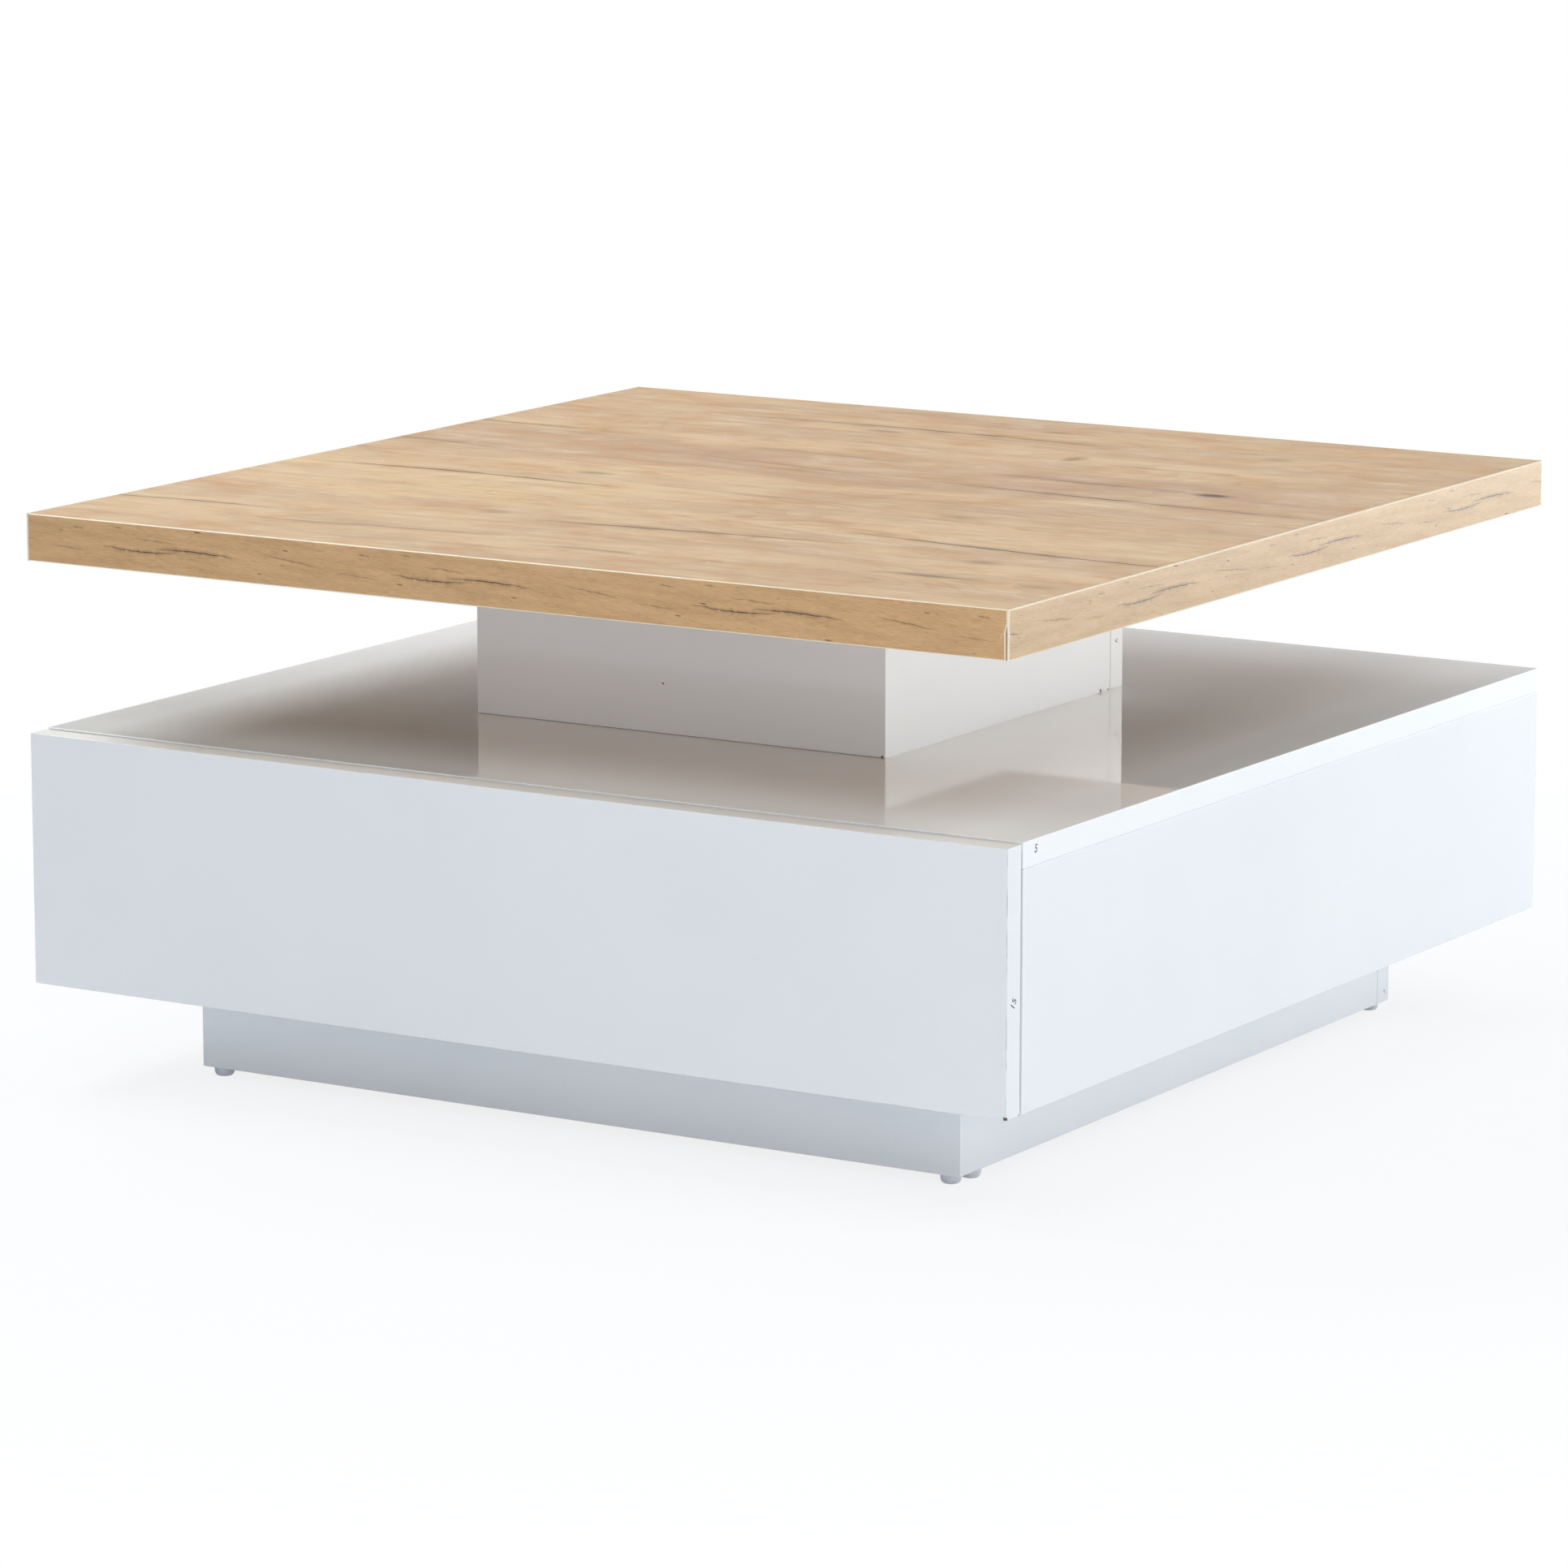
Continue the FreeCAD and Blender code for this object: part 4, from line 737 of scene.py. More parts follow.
def creased(tree, point, xyz):
    """How far the plastic has paled along the crease, only near the corner and above its lower end."""
    start, finish = CREASE
    line = (finish - start).normalized()
    # the pale line is 1.5 mm wide, stays near its start, and fades out over the crease's lower part
    offset = add(tree, "VectorMath", {0: point, 1: start}, operation="SUBTRACT")
    beside = add(tree, "VectorMath", {0: offset, 1: (line.z, 0.0, -line.x)}, operation="DOT_PRODUCT")
    beside = add(tree, "Math", {0: beside.outputs["Value"]}, operation="ABSOLUTE")
    pale = add(tree, "MapRange", {"Value": beside, 1: 0.75, 2: 0.15, 3: 0.0, 4: CREASE_PALE}, clamp=True)
    corner = add(tree, "MapRange", {"Value": xyz[0], 1: start.x - 14, 2: start.x - 12}, clamp=True)
    upper = add(tree, "MapRange", {"Value": xyz[2], 1: finish.z + 6, 2: finish.z + 13}, clamp=True)
    where = add(tree, "Math", {0: corner, 1: upper}, operation="MULTIPLY")
    return add(tree, "Math", {0: pale, 1: where}, operation="MULTIPLY")


print("crease:", round((CREASE[0] - CREASE[1]).length, 1), "mm long")

# %% Oak edge band
def oak_band(name, along, shift, low, high, bent=False):
    """Edge band whose length runs along axis 0 (X) or 1 (Y), paled along the crease where it is bent."""
    material, tree, shader, point = new_material(name, Roughness=0.28)
    xyz = add(tree, "SeparateXYZ", {0: point}).outputs
    colour, dark, fine = band_print(tree, xyz, along, shift, low, high)
    bare = trimmed(tree, along)
    if bent:
        bare = add(tree, "Math", {0: bare, 1: creased(tree, point, xyz)}, operation="MAXIMUM")
    colour = {0: bare, 6: colour.outputs[MIXED], 7: paint("F2E6CD")}
    colour = add(tree, "Mix", colour, data_type="RGBA")
    tree.links.new(colour.outputs[MIXED], shader.inputs["Base Color"])
    height = add(tree, "Math", {0: dark, 1: -1.2, 2: fine}, operation="MULTIPLY_ADD")
    bump = add(tree, "Bump", {"Height": height, "Strength": 0.10, "Distance": RELIEF})
    tree.links.new(bump.outputs[0], shader.inputs["Normal"])
    return material


# the print is the same on all four bands; the side bands' paler, less saturated tones are painted sheen of a
# face turned to the light
OAK_BAND_ALONG_X = oak_band("oak_band_along_x", 0, FRONT_SHIFT, "C99E6E", "DAB07E", bent=True)
OAK_BAND_ALONG_Y_PAINTED_SHEEN = oak_band("oak_band_along_y_painted_sheen", 1, SIDE_SHIFT, "BF9C71", "D1AF83")

# %% [markdown]
# ## The turning top
# The board is a plain slab, oak above and a plainer oak-coloured film below, which keeps it from warping. Its
# edges are only broken, because the bands are glued against them.

# %% Top board
GLUE_ROUND = 0.12 * MM        # barely broken arris along a glue line
FACING = 0.9                  # of a face's normal along an axis, for it to count as facing that way


def plain_film():
    """Oak-coloured melamine paper, satin, with a faint grain and no print, on the underside."""
    material, tree, shader, point = new_material("oak_backing_film", Roughness=0.45)
    long = add(tree, "Mapping", {"Vector": point, "Scale": per(260, 7, 7)})
    grain = add(tree, "TexNoise", {"Vector": long, "Scale": 1.0, "Detail": 4.0})
    tone = add(tree, "MapRange", {"Value": grain, 1: 0.3, 2: 0.7}, clamp=True)
    colour = add(tree, "Mix", {0: tone, 6: paint("D0AF8D"), 7: paint("DEC1A3")}, data_type="RGBA")
    tree.links.new(colour.outputs[MIXED], shader.inputs["Base Color"])
    return material


low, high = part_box("top_board")
bm = block(low, high)
soften(bm, bm.edges[:], GLUE_ROUND, 2)
for face in bm.faces:
    face.normal_update()
    face.material_index = 1 if face.normal.z < -FACING else 0
new_piece("oak_top", bm, (OAK_FILM, plain_film()), "swivel_top", ["top_board"])

# %% [markdown]
# The four bands are 2 mm strips with a round along every outer arris, which catches the light as a fine pale
# line. The side bands run through, and the front and back ones end between them.
#
# At the right-hand corner the lower half of the front band has come unstuck. Its end has pulled away and
# opened a dark slit, and the side band's edge is broken away beside it. The loose corner is bent inwards
# along a slanting crease. Both are made on the blank: a scored line gives new points, and those are moved.

# %% The loose corner
BAND_ROUND = 1.2 * MM         # outer arrises
FRONT_ROUND = 1.1 * MM        # those of the front band
SLIT_TOP = (BAND_CORNER.z + 23.5) * MM    # height where the loose end starts
SLIT_OPEN = (BAND_CORNER.z + 18.0) * MM   # height where it is fully open
SLIT_PULL = 0.9 * MM          # how far the front band's end has drawn back there
SLIT_TRIM = 0.8 * MM          # how far the side band's end is broken away there
SLIT_DEEP = 4 * MM            # how far along the side band that goes
CREASE_FROM, CREASE_TO = (end_point * MM for end_point in CREASE)
BEND_SLOPE = 0.30 / 8         # how far the loose corner is bent in, for each millimetre past the crease


def score(bm, at, normal):
    """Cuts edges along a plane and keeps both sides."""
    everything = bm.verts[:] + bm.edges[:] + bm.faces[:]
    bmesh.ops.bisect_plane(bm, geom=everything, plane_co=at, plane_no=normal)


def open_slit(bm, side, low, high):
    """Draws back the loose end of the front band, or breaks away the edge of the right one beside it."""
    score(bm, (0, 0, SLIT_TOP), (0, 0, 1))
    score(bm, (0, 0, SLIT_OPEN), (0, 0, 1))
    if side == "right":
        score(bm, (0, low.y + SLIT_DEEP, 0), (0, 1, 0))
    for v in bm.verts:
        if v.co.z > SLIT_TOP - SNAP:
            continue
        if side == "front" and v.co.x > high.x - SNAP:
            v.co.x -= SLIT_PULL
        if side == "right" and v.co.x < low.x + SNAP and v.co.y < low.y + SNAP:
            v.co.x += SLIT_TRIM


def bend_corner(bm, high):
    """Bends the loose corner of the front band inwards, past the crease."""
    along = CREASE_TO - CREASE_FROM
    score(bm, CREASE_FROM, (along.z, 0.0, -along.x))
    outwards = Vector((-along.z, 0.0, along.x)).normalized()
    for v in bm.verts:
        past = (v.co - CREASE_FROM).dot(outwards)
        if past > 0:
            v.co.y = min(v.co.y + BEND_SLOPE * past, high.y)


# %% Edge bands
def on_plane(edge, axis, place):
    """Whether both ends of an edge lie at a place along an axis."""
    return all(abs(v.co[axis] - place) < SNAP for v in edge.verts)


def outer_arrises(bm, side, axis, low, high, outside):
    """The edges that are rounded: the long outer ones, the outer corners and the loose end."""
    rims = [(2, low.z), (2, high.z)]
    if axis == 0:
        rims += [(1, low.y), (1, high.y)]
    found = [e for e in bm.edges if on_plane(e, axis, outside) and any(on_plane(e, *rim) for rim in rims)]
    if side == "front":
        for e in bm.edges:
            loose = all(v.co.x > high.x - 1.5 * MM and v.co.z < SLIT_TOP + SNAP for v in e.verts)
            if loose and on_plane(e, axis, outside) and not on_plane(e, 2, low.z):
                found.append(e)
    return list(set(found))


def band(side, axis, sign, material):
    """An edge band that faces along an axis, with rounded outer arrises."""
    low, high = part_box("top_band_" + side)
    outside = (high if sign > 0 else low)[axis]
    bm = block(low, high)
    if side in ("front", "right"):
        open_slit(bm, side, low, high)
    arrises = outer_arrises(bm, side, axis, low, high, outside)
    soften(bm, arrises, FRONT_ROUND if side == "front" else BAND_ROUND, 4)
    if side == "front":
        bend_corner(bm, high)
    return new_piece("oak_band_" + side, bm, material, "swivel_top", ["top_band_" + side])


band("front", 1, -1, OAK_BAND_ALONG_X)
band("back", 1, 1, OAK_BAND_ALONG_X)
band("left", 0, -1, OAK_BAND_ALONG_Y_PAINTED_SHEEN)
band("right", 0, 1, OAK_BAND_ALONG_Y_PAINTED_SHEEN)

# %% [markdown]
# ## White gloss
# The visible white boards are fibreboard, sprayed with white lacquer and polished to a high gloss. Sprayed
# lacquer is never optically flat: a faint orange peel a few millimetres across bends its reflections. Where
# an edge has been knocked, the lacquer has chipped off and the brown board shows. The body's top board is
# the best polished, so the column stands mirrored in it, and its lighter white is painted light on a board
# that lies in shade.

# %% Damage to the lacquer
# each chip: right, back and up from the board's lower front right corner, and its radius
DRAWER_CHIPS = ((-0.6, 0, 0.8, 1.9), (0, 17, 0.4, 0.9))
COLUMN_CHIPS = ((0, 309.2, 1.2, 1.3), (0, 320.4, 0.4, 0.9), (-2.4, 0, 0.6, 1.1), (-183.3, 0, 36.2, 0.8))
DRAWER_CORNER = outer_corner("drawer_front", "drawer_front")
COLUMN_CORNER = outer_corner("column_front", "column_right")


def chipped(tree, point, corner, chips):
    """1 where the lacquer is missing round a few points, with a torn rim."""
    torn = add(tree, "Mapping", {"Vector": point, "Scale": per(1.6, 1.6, 1.6)})
    torn = add(tree, "TexNoise", {"Vector": torn, "Scale": 1.0, "Detail": 3.0})
    bare = None
    # the noise is about a half, and adds about 0.8 of the radius to the distance: its swings tear the rim
    for *offset, radius in chips:
        place = corner + Vector(offset)
        far = add(tree, "VectorMath", {0: point, 1: place}, operation="DISTANCE").outputs["Value"]
        ragged = add(tree, "Math", {0: torn, 1: 1.6 * radius, 2: far}, operation="MULTIPLY_ADD")
        hole = add(tree, "MapRange", {"Value": ragged, 1: 1.85 * radius, 2: 1.70 * radius}, clamp=True)
        bare = add(tree, "Math", {0: bare, 1: hole}, operation="MAXIMUM") if bare else hole
    return bare


def rubbed_and_shaded_arris(tree, point, corner):
    """How dark the upright arris over a corner is, in uneven lengths: lacquer rubbed through, and painted
    shade.
    """
    xyz = add(tree, "SeparateXYZ", {0: point}).outputs
    level = add(tree, "CombineXYZ", {0: xyz[0], 1: xyz[1]})
    arris = (corner.x, corner.y, 0)
    far = add(tree, "VectorMath", {0: level, 1: arris}, operation="DISTANCE").outputs["Value"]
    near = add(tree, "MapRange", {"Value": far, 1: 0.75, 2: 0.45}, clamp=True)
    along = add(tree, "TexNoise", {"W": xyz[2], "Scale": 0.035, "Detail": 3.0}, noise_dimensions="1D")
    wear_and_shade = add(tree, "MapRange", {"Value": along, 1: 0.46, 2: 0.66, 3: 0.05, 4: 0.40}, clamp=True)
    return add(tree, "Math", {0: near, 1: wear_and_shade}, operation="MULTIPLY")


print("chips:", len(DRAWER_CHIPS), "on the drawer front,", len(COLUMN_CHIPS), "on the column")

# %% White gloss lacquer
LACQUER_TONES = ("EBEDEF", "EFF0F1")
LACQUER_ROUGH = 0.06
BOARD_ROUGH = 0.85            # of the bare fibreboard in a chip


def white_gloss(name, tones=LACQUER_TONES, rough=LACQUER_ROUGH, corner=None, chips=(), wear_and_shade=False):
    """Sprayed gloss lacquer on fibreboard, chipped at points, and darkened along an upright arris by wear and
    painted shade.
    """
    material, tree, shader, point = new_material(name, Roughness=rough)
    broad = add(tree, "Mapping", {"Vector": point, "Scale": per(160, 160, 160)})
    cloud = add(tree, "TexNoise", {"Vector": broad, "Scale": 1.0, "Detail": 2.0})
    tone = add(tree, "MapRange", {"Value": cloud, 1: 0.3, 2: 0.7}, clamp=True)
    colour = add(tree, "Mix", {0: tone, 6: paint(tones[0]), 7: paint(tones[1])}, data_type="RGBA")
    peel = add(tree, "Mapping", {"Vector": point, "Scale": per(6, 6, 6)})
    peel = add(tree, "TexNoise", {"Vector": peel, "Scale": 1.0, "Detail": 1.0})
    height = peel
    if chips:
        bare = chipped(tree, point, corner, chips)
        # part wear, part painted shade: the upright arris, turned from the light, is darkened with the
        # board's brown
        if wear_and_shade:
            bare = add(tree, "Math", {0: bare, 1: rubbed_and_shaded_arris(tree, point, corner)}, operation="MAXIMUM")
        colour = {0: bare, 6: colour.outputs[MIXED], 7: paint("6C5150")}
        colour = add(tree, "Mix", colour, data_type="RGBA")
        shine = add(tree, "MapRange", {"Value": bare, 3: rough, 4: BOARD_ROUGH})
        tree.links.new(shine.outputs[0], shader.inputs["Roughness"])
        height = add(tree, "Math", {0: bare, 1: -3.0, 2: peel}, operation="MULTIPLY_ADD")
    tree.links.new(colour.outputs[MIXED], shader.inputs["Base Color"])
    bump = add(tree, "Bump", {"Height": height, "Strength": 0.02, "Distance": RELIEF})
    tree.links.new(bump.outputs[0], shader.inputs["Normal"])
    return material


WHITE_GLOSS = white_gloss("white_gloss_lacquer")
# painted light: the shaded body top wears a lighter copy of the lacquer; its low roughness is the polish
WHITE_GLOSS_BODY_TOP_PAINTED_LIGHT = white_gloss("white_gloss_body_top_painted_light", ("F4F5F6", "F7F8F8"), 0.025)
WHITE_GLOSS_DRAWER = white_gloss(
    "white_gloss_drawer_front", corner=DRAWER_CORNER, chips=DRAWER_CHIPS, wear_and_shade=True,
)
WHITE_GLOSS_COLUMN = white_gloss("white_gloss_column", corner=COLUMN_CORNER, chips=COLUMN_CHIPS)

# %% [markdown]
# ## Boards
# The body's top board and the drawer front are blocks with every arris softened. A sprayed arris is a little
# round, and in gloss that round is the fine bright line which tells one board from the next. The drawer
# front's upper edge gets a satin white of its own, a little lighter than the lacquer: painted light on a face
# that the lamps above reach. Both boards end a hair short on the right, where numbers are printed on them.

# %% Boards of the body and the drawer front
ARRIS = 0.6 * MM
PRINT_SETBACK = 0.02 * MM


def upper_edge_painted_light():
    """Satin white, lighter than the lacquer, on the upper edge of the drawer front: painted light on that lit
    face.
    """
    material, tree, shader, point = new_material("white_upper_edge_painted_light", Roughness=0.42)
    long = add(tree, "Mapping", {"Vector": point, "Scale": per(40, 4, 4)})
    cloud = add(tree, "TexNoise", {"Vector": long, "Scale": 1.0, "Detail": 2.0})
    colour = add(tree, "Mix", {0: cloud, 6: paint("F3F3F1"), 7: paint("F8F8F7")}, data_type="RGBA")
    tree.links.new(colour.outputs[MIXED], shader.inputs["Base Color"])
    return material


def gloss_board(node, body, *materials):
    """A white board with softened arrises. The last material goes on its upper face."""
    low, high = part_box(node)
    high.x -= PRINT_SETBACK
    bm = block(low, high)
    soften(bm, bm.edges[:], ARRIS)
    for face in bm.faces:
        face.normal_update()
        face.material_index = len(materials) - 1 if face.normal.z > FACING else 0
    return new_piece("gloss_" + node, bm, materials, body, [node])


gloss_board("body_top", "base", WHITE_GLOSS_BODY_TOP_PAINTED_LIGHT)
# the drawer front's upper face gets the lighter satin white: painted light
gloss_board("drawer_front", "drawer", WHITE_GLOSS_DRAWER, upper_edge_painted_light())

# %% [markdown]
# ## Column and plinth
# Three boards meet in mitres round the front of each, and a fourth closes the back. A mitre is cut with
# bisect_plane, a plane through the corner at 45 degrees, and the open end is filled again. The blanks reach
# to the shared outer corner first, and the tips are only just broken, so a closed mitre reads as one crisp
# edge. Two joints stay open as shadow lines: the back board's, and the one under the column's front board.

# %% Mitred boards
TIP = 0.10 * MM
BACK_JOINT = 0.6 * MM         # shadow gap where the back board covers the side boards
FOOT_GAP = 0.3 * MM           # and the finer one where the column's front board stands on the body


def saw(bm, at, normal):
    """Cuts off what lies beyond a plane and closes the cut."""
    everything = bm.verts[:] + bm.edges[:] + bm.faces[:]
    cut = bmesh.ops.bisect_plane(bm, geom=everything, plane_co=at, plane_no=normal, clear_outer=True)
    rim = [g for g in cut["geom_cut"] if isinstance(g, bmesh.types.BMEdge)]
    bmesh.ops.holes_fill(bm, edges=rim)


def square_frame(prefix, material, foot=0.0):
    """The four boards of the column or the plinth, its mitres closed at the outer corners."""
    left, front, right = (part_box(prefix + "_" + side) for side in ("left", "front", "right"))
    left_corner = Vector((left[0].x, front[0].y, 0.0))
    right_corner = Vector((right[1].x, front[0].y, 0.0))
    for side in ("front", "left", "right", "back"):
        node = prefix + "_" + side
        low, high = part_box(node)
        if side == "front":
            low.x, high.x = left_corner.x, right_corner.x
            low.z += foot
        if side in ("left", "right"):
            low.y = left_corner.y
            high.y -= BACK_JOINT
        bm = block(low, high)
        beyond = 1 if side == "front" else -1
        if side in ("front", "left"):
            saw(bm, left_corner, Vector((-beyond, beyond, 0)))
        if side in ("front", "right"):
            saw(bm, right_corner, Vector((beyond, beyond, 0)))
        soften(bm, bm.edges[:], TIP)
        new_piece("gloss_" + node, bm, material, "base", [node])


square_frame("column", WHITE_GLOSS_COLUMN, FOOT_GAP)
square_frame("plinth", WHITE_GLOSS)

# %% [markdown]
# ## Assembly numbers
# The factory prints small numbers on the end grain of some boards, so that whoever puts the table together
# can tell them apart. They are text, turned into a mesh before it is placed, and they stand on boards that
# are a hair smaller than the construction box.

# %% Assembly numbers
INK_RELIEF = PRINT_SETBACK    # so the ink ends level with the box on a board that is set back
INK_SPREAD = 0.012            # how much bolder the figures are than the font, as a share of their size
SUNK, PROUD = -INK_RELIEF / 2, INK_RELIEF / 2   # the ink's middle, on a board set back and on one that isn't


def printing_ink():
    """Grey-black stamping ink, dull and slightly uneven, as a rubber stamp leaves it."""
    material, tree, shader, point = new_material("printing_ink", Roughness=0.5)
    patchy = add(tree, "Mapping", {"Vector": point, "Scale": per(0.6, 0.6, 0.6)})
    patchy = add(tree, "TexNoise", {"Vector": patchy, "Scale": 1.0})
    colour = add(tree, "Mix", {0: patchy, 6: paint("2E3034"), 7: paint("5C5E62")}, data_type="RGBA")
    tree.links.new(colour.outputs[MIXED], shader.inputs["Base Color"])
    return material


INK = printing_ink()


def on_end(node, back, up, out):
    """A place on a board's right end: millimetres back and up from its lower front corner, and metres out."""
    low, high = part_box(node)
    return Vector((high.x + out, low.y + back * MM, low.z + up * MM))


def printed(name, text, size, middle, turn, body):
    """Figures on a face that looks along +X: their size in millimetres, middle, and turn in degrees."""
    figures = bpy.data.curves.new(name, "FONT")
    figures.body = text
    figures.size = size * MM
    figures.extrude = INK_RELIEF / 2
    figures.offset = INK_SPREAD * size * MM
    figures.align_x = figures.align_y = "CENTER"
    holder = bpy.data.objects.new(name, figures)
    flat = bpy.data.meshes.new_from_object(holder)
    bm = bmesh.new()
    bm.from_mesh(flat)
    bpy.data.objects.remove(holder)
    bpy.data.curves.remove(figures)
    bpy.data.meshes.remove(flat)
    upright = Matrix(((0, 0, 1), (1, 0, 0), (0, 1, 0))).to_4x4()
    turned_by = Matrix.Rotation(math.radians(turn), 4, "Z")
    place = Matrix.Translation(middle) @ upright @ turned_by
    bmesh.ops.transform(bm, matrix=place, verts=bm.verts)
    return new_piece(name, bm, INK, body)


printed("number_body_top", "5", 8.2, on_end("body_top", 17.0, 11.0, SUNK), -10, "base")
printed("number_drawer_front", "15", 8.0, on_end("drawer_front", 9.0, 77.1, SUNK), 58, "drawer")
printed("mark_column_back", "<", 7.0, on_end("column_back", 8.6, 34.6, PROUD), 0, "base")
printed("number_plinth_back", "7", 5.0, on_end("plinth_back", 11.8, 7.2, PROUD), 40, "base")

# %% [markdown]
# ## Glides
# Each glide is a moulded plastic button, nailed on. Its profile is a sole, a quarter of an ellipse and a
# straight side with a small lip. It is drawn once and spun about its own axis, which makes a cleaner round
# than bevelling a cylinder would. The bore in its foot leaves the nail's head in view. The construction mesh
# has all the glides in one node, so its loose parts are found first, and each gives one glide its place.

# %% Where the glides are
def loose_boxes(node):
    """The box of each loose part of a construction mesh."""
    bm = bmesh.new()
    bm.from_mesh(frame["nodes"][node].data)
    bmesh.ops.remove_doubles(bm, verts=bm.verts, dist=MERGE)
    left, found = set(bm.verts), []
    while left:
        part, front = set(), {left.pop()}
        while front:
            part |= front
            front = {e.other_vert(v) for v in front for e in v.link_edges} - part
        left -= part
        low, high = (Vector(pick(v.co[i] for v in part) for i in range(3)) for pick in (min, max))
        found.append((low, high))
    bm.free()
    return found


GLIDE_BOXES = loose_boxes("plinth_glides")
print(len(GLIDE_BOXES), "glides")

# %% Glides
GLIDE_BORE = 1.25 * MM        # the nail goes through it
GLIDE_FOOT = 4.5 * MM         # flat middle of the sole
GLIDE_DOME = 4.2 * MM         # height of its domed part
GLIDE_CHAMFER = 0.4 * MM      # at the mouth of the bore
GLIDE_LIP = 0.5 * MM
GLIDE_LIP_ROUND = 0.3         # how far round the lip its middle point lies
GLIDE_TAKE = 1.2 * MM         # how much smaller the moulded rim is than the blank
GLIDE_STEPS = 48
DOME_STEPS = 8


def glide_profile(low, high):
    """Half the section of a glide, as (radius, height) points from its bore round to its top."""
    rim = (high.x - low.x) / 2 - GLIDE_TAKE
    profile = [(GLIDE_BORE, GLIDE_CHAMFER), (GLIDE_BORE + GLIDE_CHAMFER, low.z), (GLIDE_FOOT, low.z)]
    for step in range(1, DOME_STEPS + 1):
        angle = math.pi / 2 * step / DOME_STEPS
        out = GLIDE_FOOT + (rim - GLIDE_FOOT) * math.sin(angle)
        profile.append((out, GLIDE_DOME * (1 - math.cos(angle))))
    middle = GLIDE_LIP * GLIDE_LIP_ROUND
    profile += [(rim, high.z - GLIDE_LIP), (rim - middle, high.z - middle)]
    return profile + [(rim - GLIDE_LIP, high.z), (GLIDE_BORE, high.z)]


def turned(bm, profile, middle):
    """Spins a closed profile of (radius, height) points about a vertical axis."""
    points = [bm.verts.new((middle.x + radius, middle.y, z)) for radius, z in profile]
    edges = [bm.edges.new(pair) for pair in zip(points, points[1:] + points[:1])]
    bmesh.ops.spin(
        bm, geom=points + edges, cent=(middle.x, middle.y, 0), axis=(0, 0, 1), angle=math.tau,
        steps=GLIDE_STEPS, use_merge=True,
    )


# polyethylene, moulded dull: a soft, slightly waxy light grey
GLIDE_PLASTIC = plain("grey_polyethylene", "E2E4E8", "D8DBDF", 0.42, 4.0)
bm = bmesh.new()
for low, high in GLIDE_BOXES:
    turned(bm, glide_profile(low, high), (low + high) / 2)
new_piece("turned_glides", bm, GLIDE_PLASTIC, "base", ["plinth_glides"])

# %% [markdown]
# ## Finishes for the parts that stay
# The rest keeps its construction mesh: the drawer box, the runners, the turntable and the fittings. Each gets
# the finish of the real part. Sheet steel is plated, so it is a metal with a faint cloud in its tone, and the
# drawer box is board with a satin paper face, pressed with a pearl texture finer than a millimetre.

# %% Board and metal finishes
def satin_melamine():
    """White melamine paper on particle board: satin, with a fine pressed pearl texture."""
    material, tree, shader, point = new_material("white_satin_melamine", Roughness=0.38)
    broad = add(tree, "Mapping", {"Vector": point, "Scale": per(90, 90, 90)})
    cloud = add(tree, "TexNoise", {"Vector": broad, "Scale": 1.0})
    tone = add(tree, "MapRange", {"Value": cloud, 1: 0.3, 2: 0.7}, clamp=True)
    colour = add(tree, "Mix", {0: tone, 6: paint("E6E6E3"), 7: paint("ECECEA")}, data_type="RGBA")
    tree.links.new(colour.outputs[MIXED], shader.inputs["Base Color"])
    pearl = add(tree, "Mapping", {"Vector": point, "Scale": per(0.9, 0.9, 0.9)})
    pearl = add(tree, "TexNoise", {"Vector": pearl, "Scale": 1.0, "Detail": 2.0})
    bump = add(tree, "Bump", {"Height": pearl, "Strength": 0.08, "Distance": RELIEF / 2})
    tree.links.new(bump.outputs[0], shader.inputs["Normal"])
    return material


def metal(name, colour, dark, rough, spangle=4):
    """Steel, plated or polished, with a faint clouded tone whose patches are given in millimetres."""
    material, tree, shader, point = new_material(name, Metallic=1.0, Roughness=rough)
    patches = add(tree, "Mapping", {"Vector": point, "Scale": per(spangle, spangle, spangle)})
    cloud = add(tree, "TexNoise", {"Vector": patches, "Scale": 1.0, "Detail": 4.0})
    tone = add(tree, "MapRange", {"Value": cloud, 1: 0.35, 2: 0.65}, clamp=True)
    mixed = add(tree, "Mix", {0: tone, 6: paint(dark), 7: paint(colour)}, data_type="RGBA")
    tree.links.new(mixed.outputs[MIXED], shader.inputs["Base Color"])
    return material


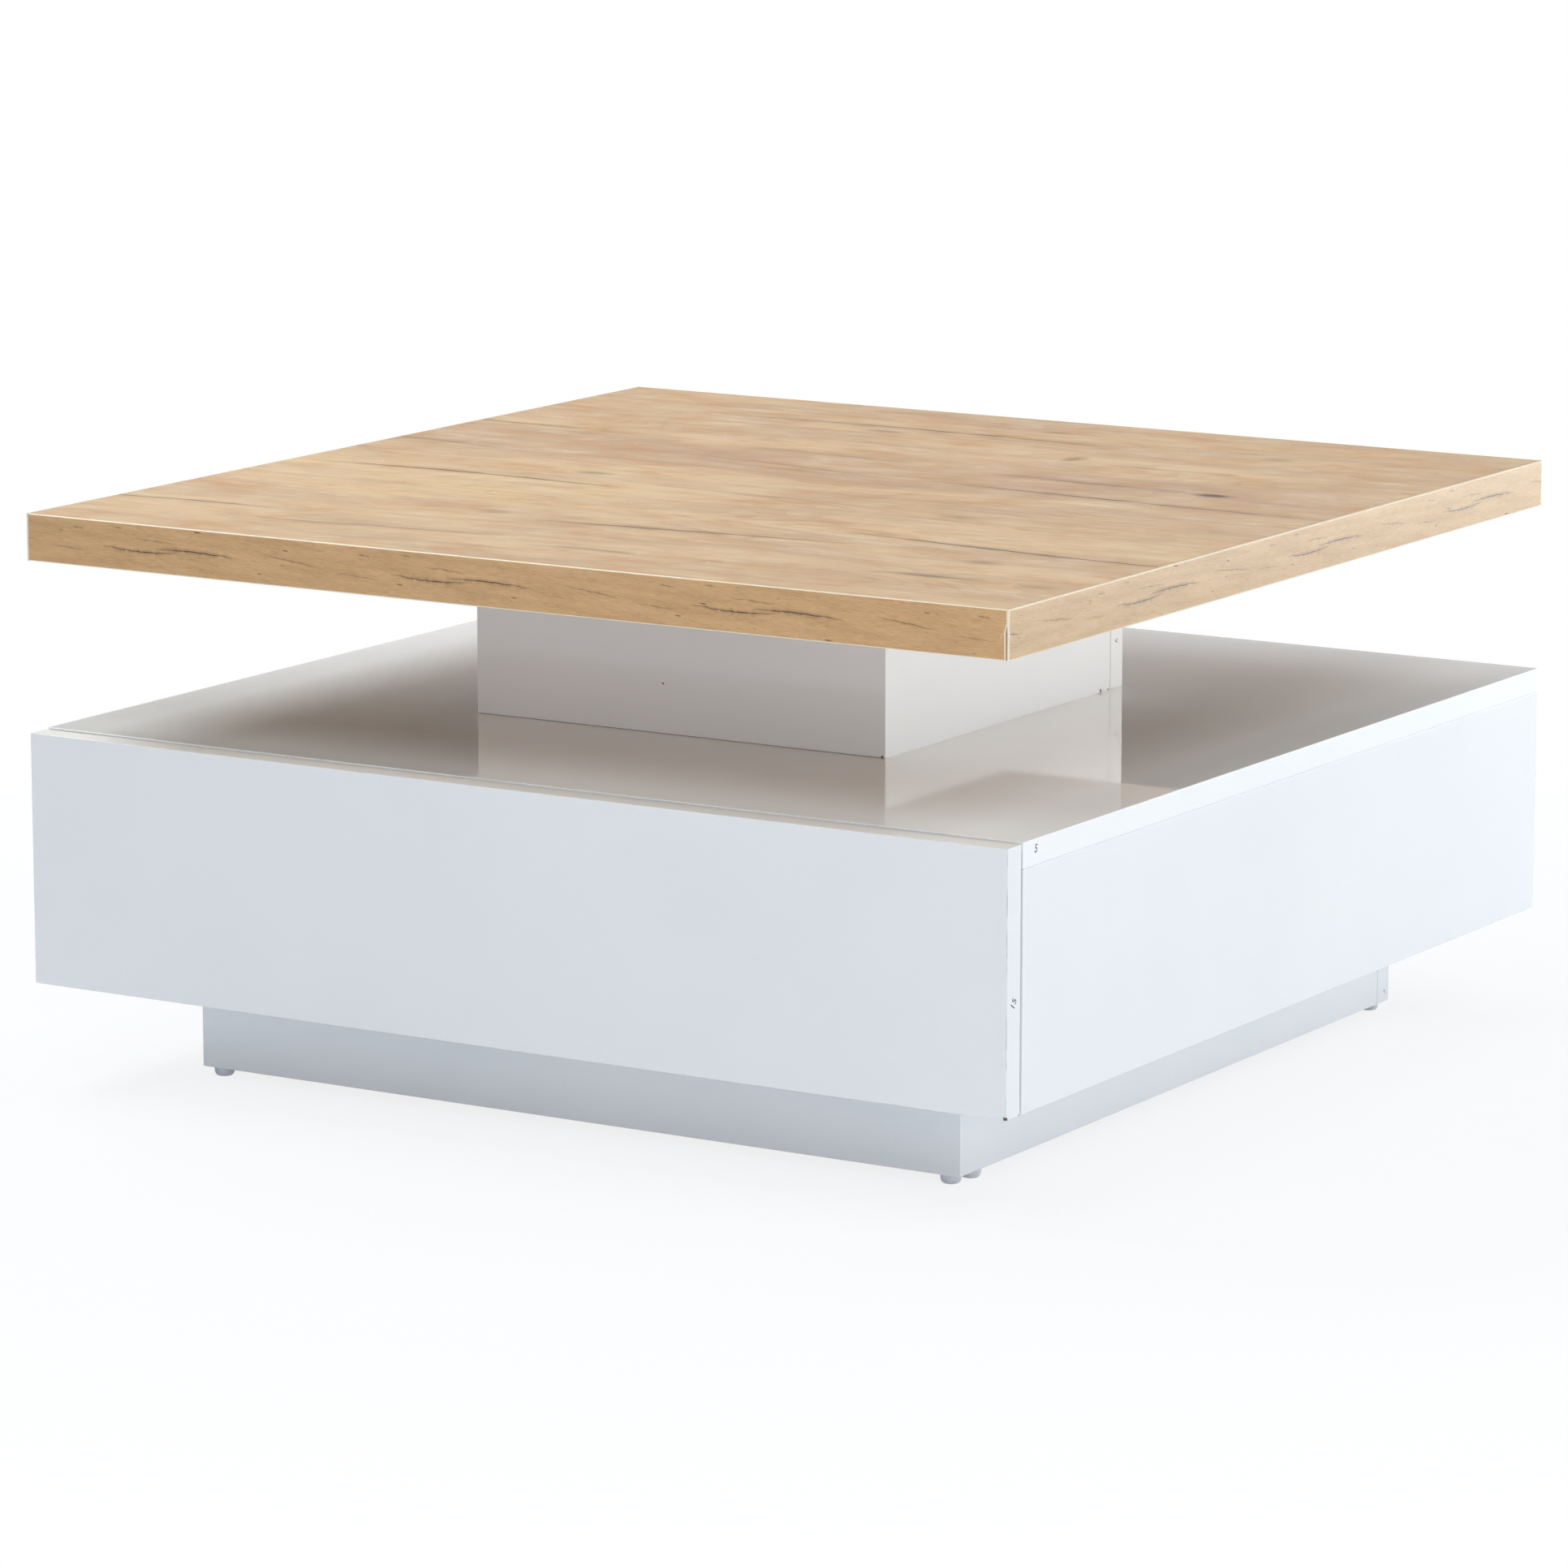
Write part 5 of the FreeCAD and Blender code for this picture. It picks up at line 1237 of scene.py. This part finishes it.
# %% Finishes
FINISHES = {
    "oak_decor": OAK_FILM,
    "oak_edge": OAK_BAND_ALONG_X,
    "white_gloss": WHITE_GLOSS,
    "white_melamine": satin_melamine(),
    # drawer bottom: pressed fibre sheet, painted on its smooth side
    "hardboard": plain("painted_hardboard", "E4E3DF", "DAD9D4", 0.55, 1.5),
    # posts, lid and blocks: pressed wood chips, dull and freckled
    "raw_board": plain("particle_board", "C9A77C", "A98358", 0.85, 2.2, 0.4),
    # dowels: turned and fluted, close-grained
    "beech": plain("beech", "D6B284", "C79E6C", 0.6, 1.2, 0.2),
    # turntable plates: pressed from galvanised sheet, whose patches are a centimetre or more across
    "zinc_sheet": metal("zinc_plated_sheet", "C4C8CC", "AEB3B8", 0.34, 14),
    # bearing balls: ground and polished, so they mirror sharply
    "ball_steel": metal("polished_ball_steel", "D9DBDE", "CED0D3", 0.12),
    # rollers and ball cage: moulded, milky and slightly waxy
    "nylon": plain("natural_nylon", "ECEBE4", "E2E0D8", 0.45, 6.0),
    # runners: powder baked on steel, with a fine orange peel
    "rail_enamel": plain("white_epoxy_powder_coat", "ECECEA", "E4E4E2", 0.32, 0.8, 0.15),
    # screws, cams and rivets: electroplated, brighter than the sheet
    "bright_zinc": metal("bright_zinc_plate", "CFD2D5", "B9BDC1", 0.28),
    "glide_plastic": GLIDE_PLASTIC,
    # drawer buffers: cast drops, soft and rather glossy
    "soft_buffer": plain("clear_polyurethane", "DADCDB", "D2D4D3", 0.25, 4.0),
}
slots = {row["node"]: row["material_slot"] for row in frame["record"]["subparts"]}
for node_name, node in frame["nodes"].items():
    node.data.materials.clear()
    node.data.materials.append(FINISHES[slots[node_name]])
print("finishes:", len(FINISHES), "for", len(frame["nodes"]), "nodes")

# %% [markdown]
# ## The end
# Both boxes are printed in millimetres: the construction model's and the dressed table's. The dressed
# table has to stay inside the construction model's box.

# %% Sizes and finish
corners = {"cad": cad_box, "visual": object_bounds()}
for name, box in corners.items():
    print(name, "box:", [round((b - a) / MM, 2) for a, b in zip(*box)], "mm")
